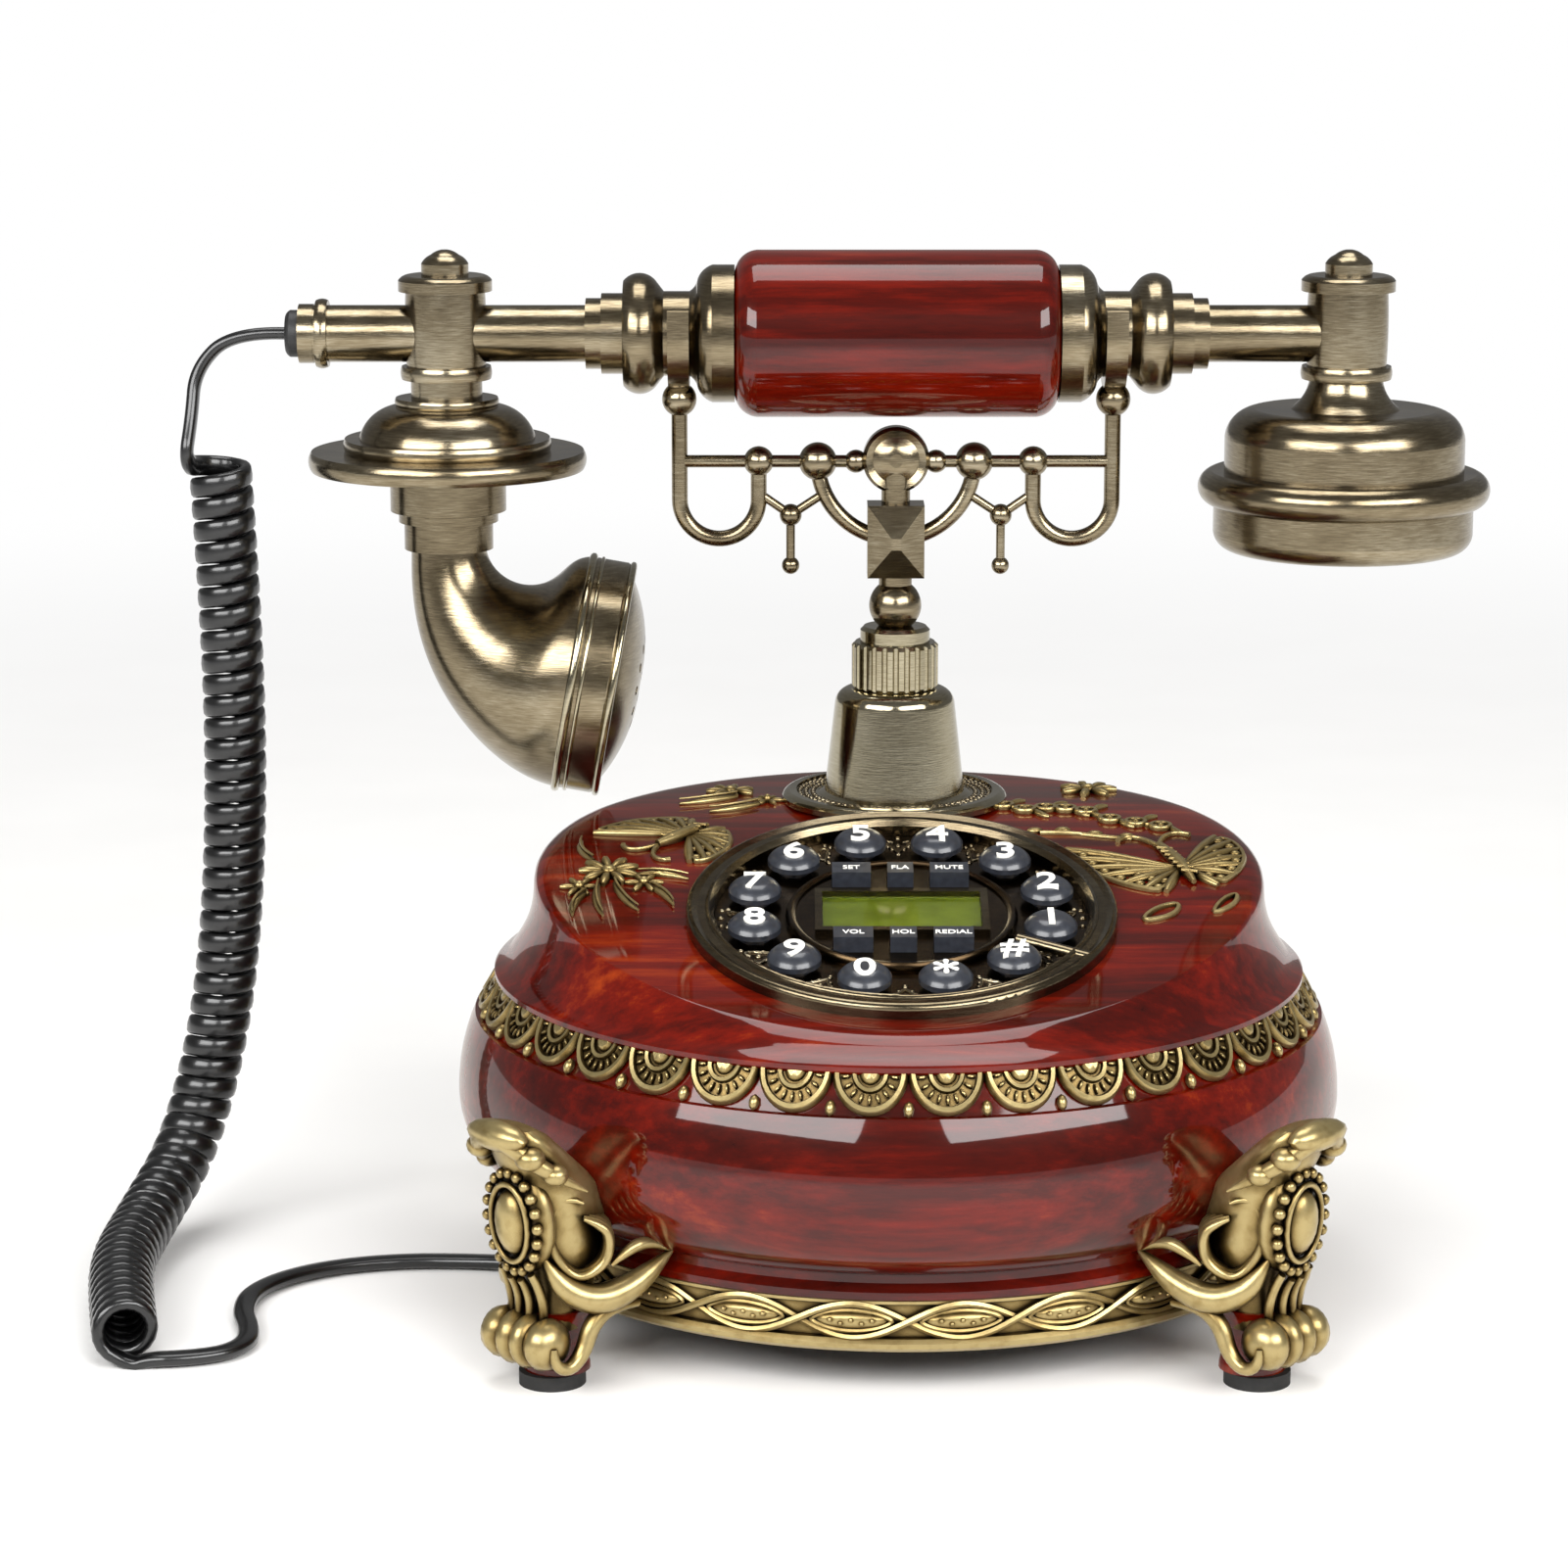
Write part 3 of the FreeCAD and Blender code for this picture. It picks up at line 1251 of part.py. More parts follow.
def make_mouthpiece():
    """The dome and disc, the flared elbow, the pierced cap and the capsule in it."""
    middle = d.pillar_place
    low = d.elbow_top
    hole = d.wire_hole_radius
    top = d.mouth_neck_bottom - low
    disc = bulge_foot(d.disc_radius, (d.step_bottom - d.disc_bottom) / 2, 70)
    step = bulge_foot(d.step_radius, (d.dome_bottom - d.step_bottom) / 2, 50)
    ring = bulge_foot(d.dome_ring_radius, d.dome_ring_height / 2, 60)
    turned("mouth_dome", [
        (hole, 0), (d.socket_end_radius, 0), (d.socket_end_radius, d.socket_step_bottom - low),
        (d.socket_step_radius, d.socket_step_bottom - low), (d.socket_step_radius, d.socket_bottom - low),
        (d.socket_radius, d.socket_bottom - low, 60), (d.socket_radius, d.disc_bottom - low),
        (disc, d.disc_bottom - low), (disc, d.step_bottom - low, 70),
        (step, d.step_bottom - low), (step, d.dome_bottom - low, 50),
        (d.dome_radius, d.dome_bottom - low), (ring, top - d.dome_ring_height, 70), (ring, top, 60), (hole, top),
    ], (-d.hub_offset, middle, low))
    outer, inner, centre, turn = elbow_lofts()
    shaped("mouth_elbow", outer.cut(inner))
    wide = d.mouth_cap_width
    wall = d.cap_wall
    crown = d.mouth_cap_crown
    rim = d.bell_radius
    shell = turned("mouth_cap_shell", [
        (rim - wall, 0), (rim, 0), (rim, wide * 0.8), (rim - wall, wide, 60), (rim - wall * 1.6, wide),
        (0, wide + crown, 36), (0, wide + crown - wall), (rim - wall * 1.6, wide - wall, -34),
        (rim - wall, wide - wall),
    ], tuple(centre), turn)
    across = perforations("mouth", wide + crown - wall * 4, wall * 5, tuple(centre), turn)
    cut("mouth_cap", shell, across)
    back = wide - wall - d.mic_height
    place = centre + turn.multVec(Z_AXIS) * back.value
    rim_inside = rim - wall - d.slide_fit
    turned("mic_capsule", [
        (0, 0), (d.mic_radius, 0), (d.mic_radius, d.mic_height / 2), (rim_inside, d.mic_height / 2),
        (rim_inside, d.mic_height), (0, d.mic_height),
    ], tuple(place), turn)


def perforations(name, start, length, at, turn):
    """A centre hole, a ring of six and a ring of twelve as cutting rods."""
    rods = []
    origin = FreeCAD.Vector(*[size(number).value for number in at])
    for ring, count in ((0, 1), (1, 6), (2, 12)):
        for index in range(count):
            angle = 2 * math.pi * index / count
            across = d.perforation_circle.value / 2 * ring
            local = FreeCAD.Vector(across * math.cos(angle), across * math.sin(angle), size(start).value)
            label = "%s_hole_%d_%d" % (name, ring, index)
            rods.append(rod(label, d.perforation_radius, length, tuple(origin + turn.multVec(local)), turn))
    return rods


def elbow_lofts():
    """The outside and inside of the flared elbow, and the middle and direction of its mouth."""
    bend = d.elbow_bend.value
    full = math.radians(d.elbow_turn.value)
    corner = FreeCAD.Vector(bend - d.hub_offset.value, d.pillar_place.value, d.elbow_top.value)
    stations = 6
    rings = {"outer": [], "inner": []}
    for index in range(stations + 1):
        share = index / stations
        angle = full * share
        centre = corner + FreeCAD.Vector(-bend * math.cos(angle), 0, -bend * math.sin(angle))
        ahead = FreeCAD.Vector(math.sin(angle), 0, -math.cos(angle))
        if index == stations:
            centre += ahead * d.elbow_straight.value
        radius = d.elbow_radius.value + (d.bell_radius.value - d.elbow_radius.value) * share ** 1.6
        rings["outer"].append(Part.Wire(Part.Circle(centre, ahead, radius).toShape()))
        rings["inner"].append(Part.Wire(Part.Circle(centre, ahead, radius - d.elbow_wall.value).toShape()))
    turn = FreeCAD.Rotation(Y_AXIS, 180 - d.elbow_turn.value)
    return Part.makeLoft(rings["outer"], True), Part.makeLoft(rings["inner"], True), centre, turn


def make_earpiece():
    """The drum with its ring, the pierced cap and the capsule in it."""
    middle = d.pillar_place
    ring_low = d.ear_ring_height - d.ear_ring_half
    ring_high = d.ear_ring_height + d.ear_ring_half
    low = ring_low
    wall = d.ear_wall
    top = d.ear_top - low
    ease = d.ear_drum_round
    inside = d.ear_drum_radius - wall
    edge = bulge_foot(d.ear_ring_radius, d.ear_ring_half, 150)
    turned("ear_cup", [
        (inside, 0), (edge, 0), (edge, ring_high - low, 150), (d.ear_drum_radius, ring_high - low),
        (d.ear_drum_radius, top - ease), (d.ear_drum_radius - ease, top, 80), (d.wire_hole_radius, top),
        (d.wire_hole_radius, top - wall), (inside - ease, top - wall), (inside, top - ease, -70),
    ], (d.hub_offset, middle, low))
    base = d.ear_cap_bottom
    tall = ring_low - base
    edge = d.ear_cap_radius
    ease = d.ear_cap_round
    shell = turned("ear_cap_shell", [
        (0, 0), (edge - ease, 0), (edge, ease, 80), (edge, tall), (inside - d.slide_fit, tall),
        (inside - d.slide_fit, tall + wall), (inside - wall, tall + wall), (inside - wall, wall), (0, wall),
    ], (d.hub_offset, middle, base))
    cut("ear_cap", shell, perforations("ear", -wall, wall * 3, (d.hub_offset, middle, base), NO_TURN))
    rod("ear_capsule", d.capsule_radius - d.loose_fit, d.capsule_height, (d.hub_offset, middle, base + wall))


# Ringer and jacks

def make_ringer():
    """The round ringer that stands on the base plate over the sound holes."""
    edge = d.ringer_height / 5
    turned("ringer_speaker", [
        (0, edge), (d.ringer_radius * 0.8, edge), (d.ringer_radius * 0.8, 0), (d.ringer_radius, 0),
        (d.ringer_radius, edge), (d.ringer_radius * 0.5, d.ringer_height * 0.6),
        (d.ringer_radius * 0.5, d.ringer_height), (0, d.ringer_height),
    ], (0, d.ringer_place, d.case_floor + d.plate_thickness))


def make_jacks():
    """Two jack blocks under the base plate, and the plug in the handset's one."""
    low = d.jack_clearance
    tall = d.case_floor - low
    half = d.jack_width / 2
    reach = d.jack_reach
    side = d.jack_side
    port_low = low + (tall - d.port_height) / 2
    hand = box("hand_block", (d.jack_length, d.jack_width, tall), (-reach, side - half, low))
    hand_port = box("hand_port", (d.port_depth, d.port_width, d.port_height),
                    (-reach, side - d.port_width / 2, port_low))
    line = box("line_block", (d.jack_width, d.jack_length, tall), (-half, reach - d.jack_length, low))
    line_port = box("line_port", (d.line_port_width, d.port_depth, d.port_height),
                    (-d.line_port_width / 2, reach - d.port_depth, port_low))
    grouped("jack_blocks", [cut("hand_jack", hand, [hand_port]), cut("line_jack", line, [line_port])])
    fit = d.slide_fit
    box("cord_plug", (d.plug_length, d.port_width - fit * 2, d.port_height - fit * 2),
        (-reach - d.plug_length + d.plug_insert, side - d.port_width / 2 + fit, port_low + fit))


# Cords and the spring, as tubes along arcs

TOP_LEAD_POINTS = [(-148.6, 40.0, 206.9), (-157.2, 40.0, 198.5)]
CURL_TOP = (-157.6, 40.0, 186.5)
CURL_AXIS = [
    (-152.2, 40.0, 177.0), (-150.2, 40.0, 136.0), (-150.6, 40.0, 92.0), (-154.2, 40.0, 52.0),
    (-162.0, 34.0, 20.0), (-170.0, 12.0, 8.2), (-171.5, -16.0, 7.6), (-168.0, -42.0, 7.6), (-164.0, -64.0, 7.6),
]
CURL_END = (-155.4, -64.9, 1.95)
BASE_LEAD_POINTS = [
    (-146.0, -63.5, 1.95), (-139.5, -56.0, 1.95), (-140.0, -45.5, 1.95), (-143.0, -34.0, 1.95),
    (-142.5, -21.0, 1.95), (-136.0, -10.0, 1.95), (-125.0, -2.0, 1.95), (-110.0, 2.0, 1.95),
    (-95.0, 1.5, 1.95), (-82.0, -2.0, 2.6), (-72.0, -3.9, 5.6),
]
SET_BACK = 0.45
LEAD_GAP = 0.15
STEPS_PER_TURN = 24
CURL_FIRST_ANGLE = 135.0
CURL_LAST_ANGLE = 180.0


def rounded_route(points):
    """Straight runs joined by tangent arcs, and the radius of each arc."""
    edges = []
    radii = []
    start = points[0]
    for before, corner, after in zip(points, points[1:], points[2:]):
        arriving = corner - before
        leaving = after - corner
        half_turn = arriving.getAngle(leaving) / 2
        set_back = SET_BACK * min(arriving.Length, leaving.Length)
        radius = set_back / math.tan(half_turn)
        arriving.normalize()
        leaving.normalize()
        inward = (leaving - arriving).normalize()
        first = corner - arriving * set_back
        last = corner + leaving * set_back
        middle = corner + inward * (radius / math.cos(half_turn) - radius)
        edges.append(Part.LineSegment(start, first).toShape())
        edges.append(Part.Arc(first, middle, last).toShape())
        radii.append(radius)
        start = last
    edges.append(Part.LineSegment(start, points[-1]).toShape())
    return edges, radii


def tube(edges, radius):
    """A round tube along edges that follow each other."""
    path = Part.Wire(edges)
    first = edges[0]
    ahead = first.tangentAt(first.FirstParameter)
    section = Part.Wire(Part.Circle(first.valueAt(first.FirstParameter), ahead, radius).toShape())
    return path.makePipeShell([section], True, False)


def make_lead(label, points):
    """A plain cord along a route chosen by hand."""
    points = [FreeCAD.Vector(*point) for point in points]
    edges, radii = rounded_route(points)
    solid = tube(edges, d.cord_radius.value)
    length = sum(edge.Length for edge in edges)
    expected = length * math.pi * d.cord_radius.value ** 2
    print(label, "radii", ["%.1f" % radius for radius in radii], "length %.1f" % length,
          "volume %.4f of the expected" % (solid.Volume / expected))
    shaped(label, solid)


def winding(axis_points, radius, first_angle, turns):
    """Points and directions of a helix round an axis, at each quarter turn."""
    if len(axis_points) > 2:
        edges = rounded_route(axis_points)[0]
    else:
        edges = [Part.LineSegment(*axis_points).toShape()]
    axis = Part.Wire(edges)
    steps = STEPS_PER_TURN
    count = int(round(turns * steps))
    samples = axis.discretize(Number=count + 1)
    normal = FreeCAD.Vector(0, -1, 0)
    spots = []
    for index, point in enumerate(samples):
        ahead = samples[min(index + 1, count)] - samples[max(index - 1, 0)]
        ahead.normalize()
        normal = (normal - ahead * normal.dot(ahead)).normalize()
        side = ahead.cross(normal)
        angle = first_angle + 2 * math.pi * index / steps
        spots.append(point + (normal * math.cos(angle) + side * math.sin(angle)) * radius)
    nodes = []
    for index in list(range(0, count, steps // 4)) + [count]:
        ahead = spots[min(index + 1, count)] - spots[max(index - 1, 0)]
        nodes.append((spots[index], ahead.normalize()))
    return nodes


def arc_from(start, ahead, end):
    """The arc that leaves start in a direction and reaches end."""
    chord = end - start
    across = ahead - chord * (ahead.dot(chord) / chord.dot(chord))
    if across.Length < 1e-7:
        return Part.LineSegment(start, end).toShape()
    half = ahead.getAngle(chord) / 2
    middle = (start + end) * 0.5 + across.normalize() * (chord.Length / 2 * math.tan(half))
    return Part.Arc(start, middle, end).toShape()


def biarcs(nodes):
    """Pairs of arcs that pass through each node in its direction."""
    edges = []
    for (start, leaving), (end, arriving) in zip(nodes, nodes[1:]):
        chord = end - start
        both = leaving + arriving
        bend = 2 * (1 - leaving.dot(arriving))
        along = chord.dot(both)
        if bend < 1e-9:
            reach = chord.dot(chord) / (2 * along)
        else:
            reach = (-along + math.sqrt(along ** 2 + bend * chord.dot(chord))) / bend
        middle = (start + leaving * reach + end - arriving * reach) * 0.5
        edges.append(arc_from(start, leaving, middle))
        edges.append(arc_to(middle, end, arriving))
    return edges


def arc_to(start, end, arriving):
    """The arc from start that reaches end in a direction."""
    back = arc_from(end, -arriving, start)
    low, high = back.FirstParameter, back.LastParameter
    if back.Curve.TypeId == "Part::GeomLine":
        return Part.LineSegment(start, end).toShape()
    return Part.Arc(start, back.valueAt((low + high) / 2), end).toShape()


def least_gap(edges, radius, turn_length):
    """The least space between stretches of a tube that are more than half a turn apart."""
    spots = []
    reached = 0
    for edge in edges:
        count = max(2, int(edge.Length / radius))
        low, high = edge.FirstParameter, edge.LastParameter
        for index in range(count):
            share = index / count
            spots.append((reached + edge.Length * share, edge.valueAt(low + (high - low) * share)))
        reached += edge.Length
    least = math.inf
    for index, (place, spot) in enumerate(spots):
        for other_place, other in spots[index + 1:]:
            if other_place - place > turn_length / 2:
                least = min(least, spot.distanceToPoint(other))
    return least - radius * 2


def make_spring():
    """The spring that lifts the stem, between the flange and the collar."""
    wire = d.spring_wire.value / 2
    low = d.plateau_height.value + d.flange_height.value + wire + d.slide_fit.value
    high = d.stem_collar_height.value - wire - d.slide_fit.value
    middle = d.pillar_place.value
    axis = [FreeCAD.Vector(0, middle, low), FreeCAD.Vector(0, middle, high)]
    turns = d.spring_turns.value
    nodes = winding(axis, d.spring_radius.value, 0, turns)
    edges = biarcs(nodes)
    shaped("hook_spring", tube(edges, wire))
    print("hook_spring gap %.2f" % least_gap(edges, wire, 2 * math.pi * d.spring_radius.value))


def make_cords():
    """The lead from the handset, the curly cord and the lead to the base."""
    diameter = d.cord_radius.value * 2
    gland = -(d.hub_offset.value + d.ear_ring_radius.value + d.gland_length.value)
    start = (gland, d.pillar_place.value, d.handset_height.value)
    make_lead("cord_top_lead", [start] + TOP_LEAD_POINTS + [CURL_TOP])
    axis = [FreeCAD.Vector(*point) for point in CURL_AXIS]
    length = Part.Wire(rounded_route(axis)[0]).Length
    turns = round(length / d.curl_pitch.value) + (CURL_LAST_ANGLE - CURL_FIRST_ANGLE) / 360
    nodes = winding(axis, d.curl_radius.value, math.radians(CURL_FIRST_ANGLE), turns)
    down = FreeCAD.Vector(0, 0, -1)
    right = FreeCAD.Vector(1, 0, 0)
    top = FreeCAD.Vector(*CURL_TOP) + down * LEAD_GAP
    end = FreeCAD.Vector(*CURL_END) - right * LEAD_GAP
    straight_top = Part.LineSegment(top, top + down * diameter).toShape()
    straight_end = Part.LineSegment(end - right * diameter, end).toShape()
    nodes = [(top + down * diameter, down)] + nodes + [(end - right * diameter, right)]
    edges = [straight_top] + biarcs(nodes) + [straight_end]
    turn_length = 2 * math.pi * d.curl_radius.value
    tightest = min(edge.Curve.Radius for edge in edges if edge.Curve.TypeId == "Part::GeomCircle")
    solid = tube(edges, d.cord_radius.value)
    expected = sum(edge.Length for edge in edges) * math.pi * d.cord_radius.value ** 2
    print("cord_curl turns %.2f" % turns, "gap %.2f" % least_gap(edges, d.cord_radius.value, turn_length),
          "tightest %.2f" % tightest, "length %.0f" % sum(edge.Length for edge in edges),
          "volume %.4f of the expected" % (solid.Volume / expected))
    shaped("cord_curl", solid)
    tail = -(d.jack_reach.value + d.plug_length.value - d.plug_insert.value)
    plug_height = (d.case_floor.value + d.jack_clearance.value) / 2
    make_lead("cord_base_lead", [CURL_END] + BASE_LEAD_POINTS + [(tail, d.jack_side.value, plug_height)])


NODES = [
    "lower_case", "upper_case", "base_plate", "base_screws", "scallop_band", "base_moulding", "feet", "foot_pads",
    "gilt_reliefs", "dial_bezel", "dial_plate", "display_frame", "display_lens", "display_panel", "key_mat",
    "circuit_board", "ringer_speaker", "hook_switch", "hook_spring", "pillar_flange", "pillar_cone", "pillar_nut",
    "jack_blocks", "cradle_stem", "cradle_yoke", "handset_grip", "handset_tube", "grip_collars", "handset_hubs",
    "finial_nuts", "mouth_dome", "mouth_elbow", "mouth_cap", "mic_capsule", "ear_cup", "ear_cap", "ear_capsule",
    "cord_gland", "cord_top_lead", "cord_curl", "cord_base_lead", "cord_plug",
] + ["key_" + name for name in KEY_NAMES] + ["key_" + item[0] for item in SMALL_KEY_NAMES]


def build():
    """Make every piece, check it and write one file for each."""
    make_lower_case()
    make_base_plate()
    make_base_moulding()
    make_scallop_band()
    make_upper_case()
    make_feet()
    make_dial_bezel()
    make_dial_plate()
    make_display()
    make_key_board()
    make_keys()
    make_reliefs()
    make_pillar()
    make_stem()
    make_hook_switch()
    make_spring()
    make_yoke()
    make_grip()
    make_hubs()
    make_mouthpiece()
    make_earpiece()
    make_ringer()
    make_jacks()
    make_cords()
    doc.recompute()
    faults = [thing.Label for thing in doc.Objects if "Invalid" in thing.State or "Error" in thing.State]
    shapes = {label: doc.getObjectsByLabel(label)[0].Shape for label in NODES}
    faults += [label for label, shape in shapes.items() if shape.isNull() or not shape.isValid()]
    if faults:
        raise RuntimeError("These pieces failed: " + ", ".join(faults))
    os.makedirs("parts", exist_ok=True)
    for label, shape in shapes.items():
        shape.exportStep("parts/%s.step" % label)
    print(len(NODES), "pieces written")


build()
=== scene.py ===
import json
import math

import bmesh
import bpy
from mathutils import Matrix, Vector


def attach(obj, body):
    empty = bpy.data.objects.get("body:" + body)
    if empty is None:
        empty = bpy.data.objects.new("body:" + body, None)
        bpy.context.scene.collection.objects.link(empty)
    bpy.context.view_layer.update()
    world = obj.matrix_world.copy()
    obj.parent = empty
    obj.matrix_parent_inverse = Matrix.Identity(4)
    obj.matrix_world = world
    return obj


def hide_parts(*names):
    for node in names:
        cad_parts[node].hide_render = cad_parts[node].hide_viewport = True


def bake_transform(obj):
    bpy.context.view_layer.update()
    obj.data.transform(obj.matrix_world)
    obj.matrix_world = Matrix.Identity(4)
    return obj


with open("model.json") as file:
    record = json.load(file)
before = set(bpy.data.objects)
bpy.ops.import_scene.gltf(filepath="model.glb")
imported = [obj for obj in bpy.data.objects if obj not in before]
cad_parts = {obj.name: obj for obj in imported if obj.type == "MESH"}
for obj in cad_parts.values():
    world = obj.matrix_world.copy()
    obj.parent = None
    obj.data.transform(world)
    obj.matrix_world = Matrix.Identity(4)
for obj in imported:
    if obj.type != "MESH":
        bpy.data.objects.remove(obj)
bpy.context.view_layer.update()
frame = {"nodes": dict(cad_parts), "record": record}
nodes = frame["nodes"]
mm = 0.001
print("frame loaded:", len(nodes), "nodes")


# small helpers

def hexColor(code):
    # sRGB hex to the linear colour that sockets take
    parts = [int(code[i:i + 2], 16) / 255 for i in (1, 3, 5)]
    linear = [c / 12.92 if c <= 0.04045 else ((c + 0.055) / 1.055) ** 2.4 for c in parts]
    return (*linear, 1.0)


def addNode(tree, kind, settings=None, **inputs):
    # one shader node: settings are its own fields, inputs are sockets by name or number
    node = tree.nodes.new(kind)
    for key, value in (settings or {}).items():
        if key == "stops":  # colours of a ramp
            while len(node.color_ramp.elements) < len(value):
                node.color_ramp.elements.new(0.5)
            for element, (position, code) in zip(node.color_ramp.elements, value):
                element.position = position
                element.color = hexColor(code)
        else:
            setattr(node, key, value)
    for key, value in inputs.items():
        socket = node.inputs[int(key[1:])] if key[0] == "_" else node.inputs[key.replace("_", " ")]
        if isinstance(value, bpy.types.NodeSocket):
            tree.links.new(value, socket)
        else:
            socket.default_value = value
    return node


def newMaterial(name, **sockets):
    # a material of one shader with these fixed sockets, and the coordinates for its textures
    material = bpy.data.materials.new(name)
    material.use_nodes = True
    tree = material.node_tree
    tree.nodes.clear()
    shader = addNode(tree, "ShaderNodeBsdfPrincipled", **sockets)
    addNode(tree, "ShaderNodeOutputMaterial", Surface=shader.outputs[0])
    place = addNode(tree, "ShaderNodeTexCoord").outputs["Object"]
    return material, tree, shader, place


def perMm(size):
    # texture scale for a pattern of this many millimetres on object coordinates in metres
    return 1000.0 / size


def roundTurns(count):
    # cosine and sine of the turns that divide a circle evenly
    turns = [2 * math.pi * k / count for k in range(count)]
    return [(math.cos(turn), math.sin(turn)) for turn in turns]


def smoothPiece(bm, name, material, angle=35):
    bmesh.ops.remove_doubles(bm, verts=bm.verts[:], dist=1e-6)
    bmesh.ops.recalc_face_normals(bm, faces=bm.faces[:])
    mesh = bpy.data.meshes.new(name)
    bm.to_mesh(mesh)
    bm.free()
    mesh.shade_smooth()
    mesh.set_sharp_from_angle(angle=math.radians(angle))
    piece = bpy.data.objects.new(name, mesh)
    bpy.context.scene.collection.objects.link(piece)
    mesh.materials.append(material)
    return piece


def placePiece(piece, body, slot, *replaced):
    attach(piece, body)
    if replaced:
        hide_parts(*replaced)
    return piece


# materials

def makeRedLacquer():
    # mahogany under thick gloss lacquer, which is amber: deep red with darker and orange streaks along X
    material, tree, shader, place = newMaterial(
        "mahoganyLacquer", Roughness=0.3, Specular_IOR_Level=0.05, Coat_Weight=0.75, Coat_Roughness=0.04,
        Coat_Tint=hexColor("#ffe2cc"))
    along = addNode(tree, "ShaderNodeMapping", Vector=place, Scale=(0.1, 1.0, 1.0)).outputs[0]
    streaks = addNode(tree, "ShaderNodeTexNoise", Vector=along, Scale=perMm(20), Detail=4.0, Roughness=0.6)
    fibres = addNode(tree, "ShaderNodeTexNoise", Vector=along, Scale=perMm(3.4), Detail=6.0, Roughness=0.7)
    broad = addNode(tree, "ShaderNodeMath", {"operation": "MULTIPLY"}, _0=streaks.outputs["Fac"], _1=0.55)
    both = addNode(tree, "ShaderNodeMath", {"operation": "MULTIPLY_ADD"}, _0=fibres.outputs["Fac"], _1=0.45,
                   _2=broad.outputs[0])
    stops = [(0.30, "#190200"), (0.46, "#3b0601"), (0.58, "#5d0e02"), (0.72, "#88340a")]
    color = addNode(tree, "ShaderNodeValToRGB", {"stops": stops}, Fac=both.outputs[0])
    tree.links.new(color.outputs[0], shader.inputs["Base Color"])
    return material


def makeBrass(name, tones, roughest, smoothest):
    # plated brass with a brown patina: fine brush lines round the turned parts, worn smoother in patches
    material, tree, shader, place = newMaterial(name, Metallic=1.0)
    lines = addNode(tree, "ShaderNodeMapping", Vector=place, Scale=(1.0, 1.0, 14.0)).outputs[0]
    brush = addNode(tree, "ShaderNodeTexNoise", Vector=lines, Scale=perMm(4), Detail=5.0, Roughness=0.65)
    patches = addNode(tree, "ShaderNodeTexNoise", Vector=place, Scale=perMm(22), Detail=3.0, Roughness=0.55)
    half = addNode(tree, "ShaderNodeMath", {"operation": "MULTIPLY"}, _0=patches.outputs["Fac"], _1=0.5)
    tone = addNode(tree, "ShaderNodeMath", {"operation": "MULTIPLY_ADD"}, _0=brush.outputs["Fac"], _1=0.5,
                   _2=half.outputs[0])
    stops = list(zip((0.25, 0.5, 0.75), tones))
    color = addNode(tree, "ShaderNodeValToRGB", {"stops": stops}, Fac=tone.outputs[0])
    tree.links.new(color.outputs[0], shader.inputs["Base Color"])
    rough = addNode(tree, "ShaderNodeMapRange", Value=brush.outputs["Fac"], To_Min=smoothest, To_Max=roughest)
    tree.links.new(rough.outputs[0], shader.inputs["Roughness"])
    bump = addNode(tree, "ShaderNodeBump", Height=brush.outputs["Fac"], Strength=0.08, Distance=0.0003)
    tree.links.new(bump.outputs[0], shader.inputs["Normal"])
    return material


def makeGilt():
    # cast ornament in antique gold paint, with painted shade: an ambient occlusion node darkens the colour in the
    # hollows where shade falls
    material, tree, shader, place = newMaterial("antiqueGiltPaintedShade", Metallic=0.85, Roughness=0.32)
    # painted shade: ambient occlusion makes the colour darker in hollows and creases
    hollow = addNode(tree, "ShaderNodeAmbientOcclusion", {"samples": 8, "only_local": True}, Distance=0.004)
    grain = addNode(tree, "ShaderNodeTexNoise", Vector=place, Scale=perMm(3), Detail=4.0)
    hollowShade = addNode(tree, "ShaderNodeMath", {"operation": "SUBTRACT"}, _0=hollow.outputs["AO"], _1=0.15)
    shade = addNode(tree, "ShaderNodeMath", {"operation": "MULTIPLY_ADD"}, _0=grain.outputs["Fac"], _1=0.3,
                    _2=hollowShade.outputs[0])
    # the darkest stops are the painted shade in the hollows; the grain only varies the tone a little
    stops = [(0.38, "#1a1107"), (0.66, "#544322"), (0.9, "#8e794b"), (1.0, "#ab996a")]
    color = addNode(tree, "ShaderNodeValToRGB", {"stops": stops}, Fac=shade.outputs[0])
    tree.links.new(color.outputs[0], shader.inputs["Base Color"])
    bump = addNode(tree, "ShaderNodeBump", Height=grain.outputs["Fac"], Strength=0.15, Distance=0.0004)
    tree.links.new(bump.outputs[0], shader.inputs["Normal"])
    return material


def makePlain(name, dark, light, roughness, grain, metallic=0.0, coat=0.0):
    # moulded or plated surface: two close tones and a fine grain
    material, tree, shader, place = newMaterial(name, Roughness=roughness, Metallic=metallic, Coat_Weight=coat)
    noise = addNode(tree, "ShaderNodeTexNoise", Vector=place, Scale=perMm(grain), Detail=4.0)
    stops = [(0.3, dark), (0.7, light)]
    color = addNode(tree, "ShaderNodeValToRGB", {"stops": stops}, Fac=noise.outputs["Fac"])
    tree.links.new(color.outputs[0], shader.inputs["Base Color"])
    bump = addNode(tree, "ShaderNodeBump", Height=noise.outputs["Fac"], Strength=0.06, Distance=0.0002)
    tree.links.new(bump.outputs[0], shader.inputs["Normal"])
    return material


def makeWindow():
    return newMaterial("clearWindow", Base_Color=hexColor("#e8ecd0"), Roughness=0.05, Transmission_Weight=1.0,
                       IOR=1.49, Specular_IOR_Level=0.1)[0]


